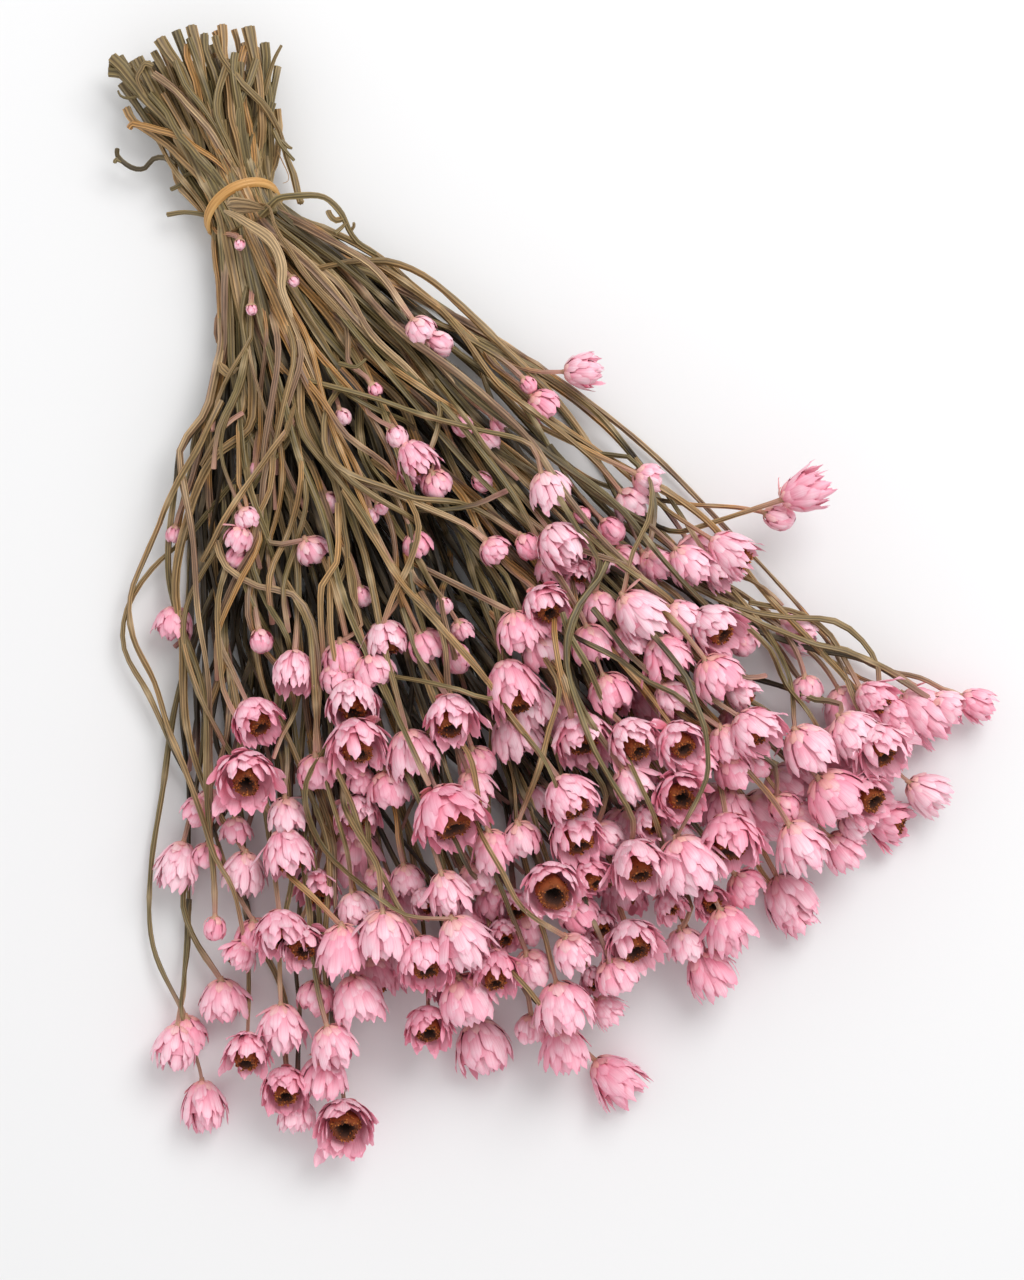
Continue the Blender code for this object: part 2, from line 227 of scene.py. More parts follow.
def makePetalPaint():
    paint, tree, shader = newPaint("papery pink bract", petalLook["roughness"])
    along, tint, fromMiddle, order = readMarks(tree)
    # Along the petal: deeper at the root, partly its own colour and partly painted shade under the
    # overlapping petals, and paler in the upper part, a painted highlight.
    body = addRamp(tree, along, ((0.0, petalLook["root"]), (0.4, petalLook["lower"]),
                                 (0.76, petalLook["upper"]), (1.0, petalLook["tip"])))
    # pale and deep vary at random between heads and petals; edge deepens the margins as painted shade;
    # stemSide is the salmon base of the outer bracts.
    for value, low, high, color in ((tint, -0.5, 0.62, "pale"), (tint, 0.5, -0.7, "deep"),
                                    (fromMiddle, -0.9, 0.5, "edge"), (order, 0.75, -2.6, "stemSide")):
        body = mixColor(tree, "MIX", spread(tree, value, low, high), body, petalLook[color])
    veins = fibreNoise(tree, petalLook["veinsAcross"], petalLook["veinsAlong"])
    lines = addRamp(tree, veins, ((0.38, petalLook["vein"]), (0.54, (1, 1, 1))))
    body = mixColor(tree, "MULTIPLY", 0.5, body, lines)
    finishPaint(tree, shader, body, veins, petalLook["relief"])
    return paint


# Tones run from near black, reached mostly through painted shade deep in the heap, through dark and
# greenish to orange, with a purplish and a pale one at the end.
stemLook = {
    "tones": ((0.0, (0.045, 0.031, 0.017)), (0.1, (0.12, 0.092, 0.044)),
              (0.25, (0.20, 0.157, 0.068)), (0.42, (0.27, 0.19, 0.092)), (0.56, (0.37, 0.235, 0.11)),
              (0.7, (0.48, 0.26, 0.09)), (0.79, (0.24, 0.14, 0.095)), (0.9, (0.28, 0.18, 0.12)),
              (1.0, (0.46, 0.33, 0.19))),
    "streaks": ((0.32, (0.42, 0.38, 0.32)), (0.48, (0.94, 0.94, 0.92)), (0.68, (1.6, 1.52, 1.36))),
    # The rib grooves get painted shade and the rib crests a painted highlight.
    "groove": (0.38, 0.33, 0.27), "crest": (1.52, 1.46, 1.35), "pink": (0.62, 0.30, 0.26),
    "pale": (0.62, 0.46, 0.27), "drift": 0.6, "roughness": 0.46, "relief": 0.9,
}


def makeStemPaint():
    paint, tree, shader = newPaint("dry ribbed stem", stemLook["roughness"])
    tone, pink, ridge, pale = readMarks(tree)
    drift = addNode(tree, "ShaderNodeMath", {"operation": "MULTIPLY_ADD"},
                    i0=fibreNoise(tree, 0.25, 0.03, 2.0), i1=stemLook["drift"], i2=-stemLook["drift"] / 2)
    drifted = addNode(tree, "ShaderNodeMath", {"operation": "ADD"}, i0=tone, i1=drift.outputs[0])
    body = addRamp(tree, drifted.outputs[0], stemLook["tones"])
    fine = fibreNoise(tree, 2.2, 0.12)
    body = mixColor(tree, "MULTIPLY", 0.45, body, addRamp(tree, fine, stemLook["streaks"]))
    # Painted light on the ribs: crests lighter as a painted highlight, grooves darker as painted shade.
    ribs = mixColor(tree, "MIX", ridge, (*stemLook["groove"], 1), stemLook["crest"])
    body = mixColor(tree, "MULTIPLY", 0.9, body, ribs)
    body = mixColor(tree, "MIX", pink, body, stemLook["pink"])
    body = mixColor(tree, "MIX", pale, body, stemLook["pale"])
    finishPaint(tree, shader, body, fine, stemLook["relief"])
    return paint


discLook = {"heat": ((0.0, (0.010, 0.004, 0.002)), (0.25, (0.06, 0.012, 0.003)),
                     (0.5, (0.34, 0.075, 0.010)), (0.8, (0.56, 0.17, 0.028)), (1.0, (0.66, 0.29, 0.08))),
            "roughness": 0.7, "relief": 0.6}


def makeDiscPaint():
    paint, tree, shader = newPaint("rust brown disc", discLook["roughness"])
    grain = addNode(tree, "ShaderNodeTexNoise", Scale=2600.0, Detail=3.0)
    body = addRamp(tree, readMarks(tree)[0], discLook["heat"])
    finishPaint(tree, shader, body, grain.outputs[0], discLook["relief"])
    return paint


rubberLook = {"streaks": ((0.3, (0.42, 0.20, 0.055)), (0.5, (0.62, 0.33, 0.10)),
                          (0.7, (0.74, 0.44, 0.16))), "roughness": 0.45, "relief": 0.3}


def makeRubberPaint():
    paint, tree, shader = newPaint("amber rubber", rubberLook["roughness"])
    fine = fibreNoise(tree, 1.6, 0.05)
    body = addRamp(tree, fine, rubberLook["streaks"])
    finishPaint(tree, shader, body, fine, rubberLook["relief"], 0.0002)
    return paint


petalPaint = makePetalPaint()
stemPaint = makeStemPaint()
discPaint = makeDiscPaint()
rubberPaint = makeRubberPaint()
print("paints ready")


# Turned shapes: rings of points one above the other, the faces between them and the two
# caps, laid along an axis.
def anglesOf(sides):
    return np.arange(sides) * fullTurn / sides


def ring(around, out, height):
    return np.stack([out * np.cos(around), out * np.sin(around), height * np.ones(len(around))], 1)


# Turns points that stand on +Z to stand on an axis.
def turnTo(points, axis):
    side = unit(np.cross(axis, (0.3, 0.1, 1.0) if abs(axis[2]) < 0.9 else (1.0, 0.2, 0.0)))
    return points @ np.array([side, np.cross(axis, side), axis])


def latheFaces(rings, sides):
    quads = []
    for i in range(rings - 1):
        for j in range(sides):
            k = (j + 1) % sides
            quads.append((i * sides + j, i * sides + k, (i + 1) * sides + k, (i + 1) * sides + j))
    return quads


def addTurned(heap, rings, marks, base, axis, slot):
    points, count, sides = np.concatenate(rings), len(rings), len(rings[0])
    caps = [tuple(range(sides))[::-1], tuple(range((count - 1) * sides, count * sides))]
    marks = np.repeat(np.array(marks, float), sides, axis=0)
    addShape(heap, turnTo(points, axis) + base, [latheFaces(count, sides), caps], marks, points, slot)


# Petals: closed scales, crowned on the outside and flat within.
petalCells = {"fine": (4, 5), "plain": (3, 4)}


def makePetalPlan(across, along):
    column, row = np.meshgrid(np.arange(across + 1), np.arange(along + 1))
    place = np.arange(column.size).reshape(column.shape)
    skin = [(place[i, j], place[i, j + 1], place[i + 1, j + 1], place[i + 1, j])
            for i in range(along) for j in range(across)]
    inside = [(place[i, 0], place[i + 1, 0], place[i + 1, across], place[i, across])
              for i in range(along)]
    ends = [tuple(place[along]), tuple(place[0][::-1])]
    return {"u": (2 * column / across - 1).ravel(), "v": 1 - (1 - row / along).ravel() ** 1.35,
            "column": column.ravel(), "quads": np.array(skin + inside), "ends": np.array(ends),
            "across": across}


petalPlans = {kind: makePetalPlan(*cells) for kind, cells in petalCells.items()}

# A flower is a dome of bracts laid like tiles, from short ones at the stem to long ones
# at the mouth. The mouth is how far its rim leans out, in degrees from the axis. The
# innermost bracts stand closer to the axis and lean in, by close and gather.
flowerMoods = {
    "bud": {"petals": 26, "mouth": (-92, -84), "tilt": 1, "ragged": 2.5, "strays": 0.0, "close": 0,
            "gather": 0.0, "disc": 0, "wider": 1.6},
    "bell": {"petals": 58, "mouth": (-30, 30), "tilt": 3, "ragged": 3.5, "strays": 0.02,
             "close": 22, "gather": 0.55, "disc": 0},
    "half": {"petals": 60, "mouth": (-22, 24), "tilt": 3, "ragged": 4, "strays": 0.03,
             "close": 4, "gather": 0.28, "disc": 0.42, "discTop": (0.72, 0.94)},
    "open": {"petals": 60, "mouth": (14, 38), "tilt": 4, "ragged": 5, "strays": 0.04, "close": 12,
             "gather": 0.24, "disc": 0.44, "discTop": (0.8, 0.97)},
}
# The first petal stands at the stem and the last at the mouth: how far up the flower their
# tips are, how long they are as a share of its side, and how wide as a share of its radius.
# The widths go along a petal. Plain flowers have fewer and wider petals, and so do the
# small bells, which are closed.
petalShape = {"tip": (0.32, 1.06), "length": (0.32, 0.56), "width": (0.19, 0.235), "crowding": 1.9,
              "widths": ((0.0, 0.3, 0.6, 0.84, 0.96, 1.0), (0.45, 0.76, 1.0, 0.96, 0.74, 0.44)),
              "crown": 0.2, "tipRound": 0.11, "tipRagged": 0.045}
fewerAndWider = {"fine": (1.0, 1.0), "plain": (0.8, 1.12), "closed": (-0.25, 0.35)}


def domeProfile(mouth, radius, length):
    s = np.linspace(0, 1.3, 53)
    lean = np.radians(88 + (mouth - 88) * s ** 1.1)
    out, up = np.cumsum(np.sin(lean)), np.cumsum(np.cos(lean))
    out, up = out - out[0], up - up[0]
    rim = s <= 1.03
    out *= 0.93 * radius / out[rim].max()
    up *= 1.04 * length / up[rim].max()
    out += 0.08 * radius
    return s, out, up, np.arctan2(np.gradient(out), np.gradient(up))


def growPetals(heap, mood, base, axis, radius, length, kind):
    look, plan, shape = flowerMoods[mood], petalPlans[kind], petalShape
    closed = float(np.clip((8.5 - radius) / 4, 0, 1)) if mood == "bell" else 0.0
    fewer, wider = np.array(fewerAndWider[kind]) * (1 + closed * np.array(fewerAndWider["closed"]))
    count = int(look["petals"] * fewer)
    wider *= look.get("wider", 1)

    def vary(low, high):
        return luck.uniform(low, high, (count, 1))

    def fromTo(pair):
        return pair[0] + (pair[1] - pair[0]) * crowd

    u, v = plan["u"][None, :], plan["v"][None, :]
    t = np.linspace(0, 1, count)[:, None]
    s, out, up, lean = domeProfile(luck.uniform(*look["mouth"]) - 55 * closed, radius, length)
    arc = np.hypot(np.diff(out), np.diff(up)).sum() / s[-1]
    crowd = 1 - (1 - t) ** shape["crowding"]
    tip = fromTo(shape["tip"]) * vary(0.94, 1.04)
    share = fromTo(shape["length"]) * vary(0.88, 1.12)
    ragged = luck.uniform(-1, 1, (count, plan["across"] + 1))[:, plan["column"]]
    tipLine = shape["tipRagged"] * ragged - shape["tipRound"] * u ** 2
    place = np.clip(tip + share * (v - 1 + tipLine * v ** 6), 0, s[-1])
    r, h, angle = (np.interp(place, s, line) for line in (out, up, lean))
    half = radius * wider * fromTo(shape["width"]) * vary(0.72, 1.25) * np.interp(v, *shape["widths"])
    x = u * half + luck.normal(0, 0.06, (count, 1)) * radius * v ** 2
    inner = np.clip((t - 0.62) / 0.38, 0, 1)
    tilt = luck.normal(look["tilt"], look["ragged"], (count, 1)) * (0.5 + 0.6 * t)
    tilt = tilt - look["close"] * inner
    stray = (vary(0, 1) < look["strays"]) * vary(12, 32)
    tilt = np.tan(np.radians(np.clip(tilt + stray, -30, 50)))
    size = share * arc
    ripple = np.sin(6.28 * (1.2 * v + vary(0, 1))) * u * np.abs(u)
    crown = shape["crown"] * half * (1 - u ** 2) * np.sin(math.pi * np.clip(v * 0.9 + 0.08, 0, 1))
    lift = (size * (tilt * v ** 1.6 + luck.normal(-0.03, 0.05, (count, 1)) * v ** 4)
            + 0.45 * (1 - t) + crown + 0.06 * half * ripple)
    r = np.maximum(r * (1 - look["gather"] * inner) + np.cos(angle) * lift, 0.3)
    h = h - np.sin(angle) * lift - 0.08 * length * look["gather"] * inner
    turn = (np.arange(count) * goldenTurn + luck.uniform(0, 6.28))[:, None]
    turn = turn + luck.normal(0, 0.14, (count, 1)) + x / np.maximum(r, 0.45 * radius)
    points = np.stack([r * np.cos(turn), r * np.sin(turn), h], 2)
    tint = vary(0, 0.45) + luck.uniform(-0.05, 0.6)
    marks = np.stack(np.broadcast_arrays(v, tint, np.abs(u), t), 2)
    fibres = np.stack(np.broadcast_arrays(x, v * size, vary(0, 90)), 2)
    first = (np.arange(count) * len(plan["u"]))[:, None, None]
    faces = [(plan[part] + first).reshape(-1, plan[part].shape[1]) for part in ("quads", "ends")]
    placed = turnTo(points.reshape(-1, 3), axis) + base
    addShape(heap, placed, faces, marks.reshape(-1, 4), fibres.reshape(-1, 3), 0)
    addLining(heap, base, axis, s, out, up)


# A thin cup inside the petals, so that no gap between them shows the far side.
liningLook = {"levels": (0.04, 0.24, 0.48, 0.74), "outer": 0.3, "inner": 0.75, "floor": 0.5,
              "mark": (0.45, 0.25, 0.2, 0.5), "sides": 10}


def addLining(heap, base, axis, s, out, up):
    around, levels = anglesOf(liningLook["sides"]), liningLook["levels"]
    rings = []
    for inset, floor, order in ((liningLook["outer"], 0.0, levels),
                                (liningLook["inner"], liningLook["floor"], levels[::-1])):
        for level in order:
            r = max(np.interp(level, s, out) - inset, 0.25)
            rings.append(ring(around, r, np.interp(level, s, up) + floor))
    addTurned(heap, rings, [liningLook["mark"]] * len(rings), base, axis, 0)


# The disc: a turned cushion with a hole in it (share of its radius and height, and how
# light it is there), under small upright florets.
discShape = {"profile": ((0.55, 0.0, 0.3), (0.85, 0.3, 0.45), (1.0, 0.72, 0.5), (0.9, 0.95, 0.45),
                         (0.68, 1.0, 0.35), (0.48, 0.86, 0.2), (0.3, 0.5, 0.05), (0.1, 0.35, 0.0)),
             "sides": 16, "hole": 0.09, "holeEdge": 0.7,
             "floretTop": ((0.35, 0.5, 0.72, 0.9, 1.04), (0.6, 0.88, 1.0, 0.95, 0.66)),
             "floretTall": (0.3, 1.15), "floretThin": (0.24, 0.46)}


def growDisc(heap, base, axis, radius, low, high, florets):
    around = anglesOf(discShape["sides"])
    uneven = 1 + sum(luck.uniform(0.03, 0.1) * np.sin(k * around + luck.uniform(0, 6.28))
                     for k in (2, 3, 5))
    hole = luck.normal(0, discShape["hole"], 2) * radius
    rings = []
    for out, up, heat in discShape["profile"]:
        inward = max(0.0, discShape["holeEdge"] - out) if up > 0.3 else 0.0
        bumpy = radius * out * uneven * luck.uniform(0.94, 1.06, len(around))
        rings.append(ring(around, bumpy, low + up * (high - low)) + (*(inward * hole), 0))
    addTurned(heap, rings, [[heat] * 4 for out, up, heat in discShape["profile"]], base, axis, 1)
    turn = luck.uniform(0, 6.28, florets)
    out = np.sqrt(luck.uniform(0.14, 1.08, florets))
    wave = radius * out * np.interp(turn % 6.283, around, uneven)
    up = low + (high - low) * np.interp(out, *discShape["floretTop"])
    foot = np.stack([wave * np.cos(turn), wave * np.sin(turn), up], 1)
    lean = unit(foot * (1, 1, 0) / radius * 0.7 + luck.normal(0, 0.45, (florets, 3)) + (0, 0, 0.9))
    tall = luck.uniform(*discShape["floretTall"], florets)[:, None]
    thin = luck.uniform(*discShape["floretThin"], florets)[:, None]
    sideA = unit(np.cross(lean, (0.2, 0.9, 0.1)))
    sideB = np.cross(lean, sideA)
    middle = foot + lean * tall * 0.45
    spindle = np.stack([foot - lean * 0.3, middle + sideA * thin, middle + sideB * thin,
                        middle - sideA * thin, middle - sideB * thin, foot + lean * tall], 1)
    order = np.array([(0, 2, 1), (0, 3, 2), (0, 4, 3), (0, 1, 4), (5, 1, 2), (5, 2, 3), (5, 3, 4),
                      (5, 4, 1)])
    faces = (order + (np.arange(florets) * 6)[:, None, None]).reshape(-1, 3)
    heat = luck.uniform(0.2, 0.85, (florets, 1)) + np.array([-0.25, 0, 0, 0, 0, 0.2])
    heat = heat * np.interp(out, (0.35, 0.65), (0.35, 1.0))[:, None]
    spindle = spindle.reshape(-1, 3)
    addShape(heap, turnTo(spindle, axis) + base, [faces], np.stack([heat.ravel()] * 4, 1), spindle, 1)


# The swelling where a stem meets its flower: radius, height and how pale, from below.
cupShape = ((0.75, -1.6, 0.0), (1.0, -0.5, 0.1), (1.9, 0.35, 0.45), (2.1, 0.75, 0.5), (0.4, 1.0, 0.3))


def growCup(heap, base, axis):
    rings = [ring(anglesOf(8), out, up) for out, up, pale in cupShape]
    addTurned(heap, rings, [(0.55, 0.45, 0.6, pale) for out, up, pale in cupShape], base, axis, 2)


# Petals that would hang below the table are pressed flat onto it.
def restOnTable(shapes, soft=3.0):
    for points in shapes:
        past = points[:, 2] - tableTop - soft
        points[:, 2] = np.where(past < 0, tableTop + soft * np.exp(past / soft), points[:, 2])


floretCount = {"fine": 110, "plain": 44}


def growFlower(heap, flower):
    mood, kind = flower["mood"], flower["kind"]
    place = flower["base"], flower["axis"]
    radius, length = flower["radius"], flower["length"]
    already = len(heap["points"])
    growPetals(heap, mood, *place, radius, length, kind)
    growCup(heap, *place)
    share = flowerMoods[mood]["disc"] * luck.uniform(0.9, 1.1)
    if share:
        top = length * luck.uniform(*flowerMoods[mood]["discTop"])
        growDisc(heap, *place, share * radius, 0.22 * length, top, floretCount[kind])
    restOnTable(heap["points"][already:])


# Routes: smoothed, and bent a little here and there.
def smoothRoute(points, spacing, softness=9.0):
    points = np.asarray(points, float)
    length = np.concatenate([[0], np.cumsum(np.linalg.norm(np.diff(points, axis=0), axis=1))])
    count = max(4, int(round(length[-1] / spacing)) + 1)
    fine = np.linspace(0, length[-1], count * 4)
    route = np.stack([np.interp(fine, length, points[:, i]) for i in range(3)], 1)
    reach = max(1, int(softness / (length[-1] / len(fine))))
    kernel = np.hanning(2 * reach + 3)[1:-1]
    kernel /= kernel.sum()
    head = 2 * route[0] - route[reach:0:-1]
    tail = 2 * route[-1] - route[-2:-reach - 2:-1]
    padded = np.concatenate([head, route, tail])
    route = np.stack([np.convolve(padded[:, i], kernel, "valid") for i in range(3)], 1)
    pick = np.linspace(0, len(route) - 1, count)
    index = np.arange(len(route))
    return np.stack([np.interp(pick, index, route[:, i]) for i in range(3)], 1)


def sway(route, amount, hold=(0.0, 1.0), wave=90.0):
    t = np.linspace(0, 1, len(route))
    ease = np.clip((t - hold[0]) * 5, 0, 1) * np.clip((hold[1] - t) * 5, 0, 1)
    turns = math.pi * t * lengthOf(route) / wave
    moved = route.copy()
    for axis, part in ((0, 1.0), (2, 0.45)):
        bends = sum(luck.normal(0, 1) / k ** 1.2 * np.sin(k * turns + luck.uniform(0, 6.28))
                    for k in (1, 2, 3.3))
        moved[:, axis] += amount * part * ease * bends
    return moved


# Stems: a flattened tube with ribs, a slight twist and swollen joints. It gets greener
# towards the cut end and pink below its flower, and a cut end is hollowed and pale.
stemShape = {"flat": (0.66, 0.95), "twist": 0.014, "ribDepth": (0.12, 0.24),
             "waves": ((0.07, 6.0), (0.05, 2.3)), "jointSpacing": (38, 70), "jointHalf": 2.0,
             "jointBulge": 0.22, "jointPale": 0.45, "green": 0.6, "greenTone": 0.27,
             "pinkLength": 18.0, "pink": 0.7, "cutHollow": -0.3, "cutPale": 0.85, "tipDome": 0.4}


def frameAlong(forward):
    side = unit(np.cross(forward[0], (0.13, 0.21, 1.0)))
    sides = []
    for direction in forward:
        side = unit(side - direction * np.dot(side, direction))
        sides.append(side)
    return np.array(sides), np.cross(forward, sides)


def growStem(heap, route, radii, ribs, tone, colored=True, cut=True, flat=None, joints=True):
    shape = stemShape
    count, sides = len(route), 2 * ribs
    forward = unit(np.gradient(route, axis=0))
    sideA, sideB = frameAlong(forward)
    along = np.cumsum(np.linalg.norm(np.diff(route, axis=0, prepend=route[:1]), axis=1))
    around = anglesOf(sides)
    flat = flat or luck.uniform(*shape["flat"])
    twist = along * luck.normal(0, shape["twist"]) + luck.uniform(0, 3.14)
    ridge = (np.arange(sides) % 2 == 0).astype(float)
    depth = luck.uniform(*shape["ribDepth"])
    (slow, slowWave), (quick, quickWave) = shape["waves"]
    uneven = 1 + slow * np.sin(along / slowWave + luck.uniform(0, 6)) + quick * np.sin(along / quickWave)
    pale = np.zeros(count)
    if joints:
        spacing = luck.uniform(*shape["jointSpacing"])
        fromJoint = (along + luck.uniform(0, spacing)) % spacing - spacing / 2
        bulge = np.exp(-(fromJoint / shape["jointHalf"]) ** 2)
        uneven += shape["jointBulge"] * bulge
        pale = shape["jointPale"] * bulge
    width = (radii * uneven)[:, None] * (1 - depth + 2 * depth * ridge)
    wide, high = np.cos(around) * width, flat * np.sin(around) * width
    cosine, sine = np.cos(twist)[:, None], np.sin(twist)[:, None]
    points = (route[:, None] + (wide * cosine - high * sine)[..., None] * sideA[:, None]
              + (wide * sine + high * cosine)[..., None] * sideB[:, None]).reshape(-1, 3)
    green = shape["green"] * colored * np.clip((route[:, 1] - tie[1] + 12) / 24, 0, 1)
    toneLine = tone + (shape["greenTone"] - tone) * green
    seed = luck.uniform(0, 90)
    pink = np.clip(1 - (along[-1] - along) / shape["pinkLength"], 0, 1) ** 1.5 * shape["pink"] * colored
    marks = np.stack(np.broadcast_arrays(toneLine[:, None], pink[:, None], ridge, pale[:, None]), 2)
    fibres = np.stack(np.broadcast_arrays(around * radii.mean(), along[:, None], seed), 2)
    addShape(heap, points, [latheFaces(count, sides)], marks.reshape(-1, 4), fibres.reshape(-1, 3))
    for end, sign in ((0, -1), (count - 1, 1)):
        sawn = cut and end == 0
        dome = shape["cutHollow"] if sawn else shape["tipDome"] * radii[end]
        middle = route[end] + sign * forward[end] * dome
        capPoints = np.concatenate([points[end * sides:(end + 1) * sides], middle[None]])
        fan = [(j, (j + 1) % sides, sides)[::sign] for j in range(sides)]
        mark = toneLine[end], pink[end], 0.5, shape["cutPale"] if sawn else 0.0
        addShape(heap, capPoints, [fan], [mark] * (sides + 1), [(0.0, 0.0, seed)] * (sides + 1))


# Where the solids are: a flower from its points, the stem's nearest ones being its base,
# and a stem's middle line from slices across it, each close to where the last ones lead.
def nodePoints(name):
    mesh = frame["nodes"][name].data
    points = np.array([vertex.co for vertex in mesh.vertices]) / mm
    return points, np.array([edge.vertices for edge in mesh.edges])


def flowerPlace(name, stemPoints):
    points = np.unique(np.round(nodePoints(name)[0], 3), axis=0)
    middle = points.mean(0)
    known = np.unique(np.round(stemPoints, 3), axis=0)
    nearest = np.argsort(np.linalg.norm(known - middle, axis=1))[:8]
    base = known[nearest].mean(0)
    axis = unit(middle - base)
    along = (points - base) @ axis
    out = np.linalg.norm(points - base - along[:, None] * axis, axis=1)
    return {"base": base, "axis": axis, "radius": out.max(), "length": along.max(), "name": name}


railLook = {"slice": 6.0, "near": 4.2, "neck": 4.0}


def stemRail(name, tip, lastAxis):
    points, edges = nodePoints(name)
    start = points[points[:, 1] > points[:, 1].max() - 0.5].mean(0)
    rail = [start]
    first, second = points[edges[:, 0]], points[edges[:, 1]]
    for y in np.arange(start[1] - 3.0, tip[1] + 2.0, -railLook["slice"]):
        crossing = (first[:, 1] - y) * (second[:, 1] - y) < 0
        a, b = first[crossing], second[crossing]
        share = ((y - a[:, 1]) / (b[:, 1] - a[:, 1]))[:, None]
        cuts = a + (b - a) * share
        guess = rail[-1] if len(rail) < 2 else 2 * rail[-1] - rail[-2]
        near = cuts[np.linalg.norm(cuts - guess, axis=1) < railLook["near"]]
        if len(near):
            rail.append(near.mean(0))
    rail = [point for point in rail if (point - tip) @ lastAxis < -railLook["neck"] - 1]
    return np.array(rail + [tip - railLook["neck"] * lastAxis, tip])


mainStems, flowers = [], []
busy = 99        # the load of a stem that no branch should grow from


# Only the stems of the solids have a name.
def addStem(**more):
    mainStems.append({"name": None, "load": 0, **more})


stemNames = sorted(name for name in frame["nodes"] if name.startswith("stem_"))
flowerNames = sorted(name for name in frame["nodes"] if "flower" in name or "bud" in name)
for stemName in stemNames:
    number = stemName[-2:]
    known = nodePoints(stemName)[0]
    for name in flowerNames:
        if name[-2:] != number:
            continue
        place = flowerPlace(name, known)
        mood = "open" if "open" in name else "bud" if "bud" in name else "bell"
        flowers.append(place)
        place.update(mood=mood, stem=stemName, kind="fine")
        if not name.startswith("side_"):
            rail = stemRail(stemName, place["base"], place["axis"])
            addStem(rail=rail, name=stemName)
print("solids read:", len(mainStems), "stems,", len(flowers), "flowers")


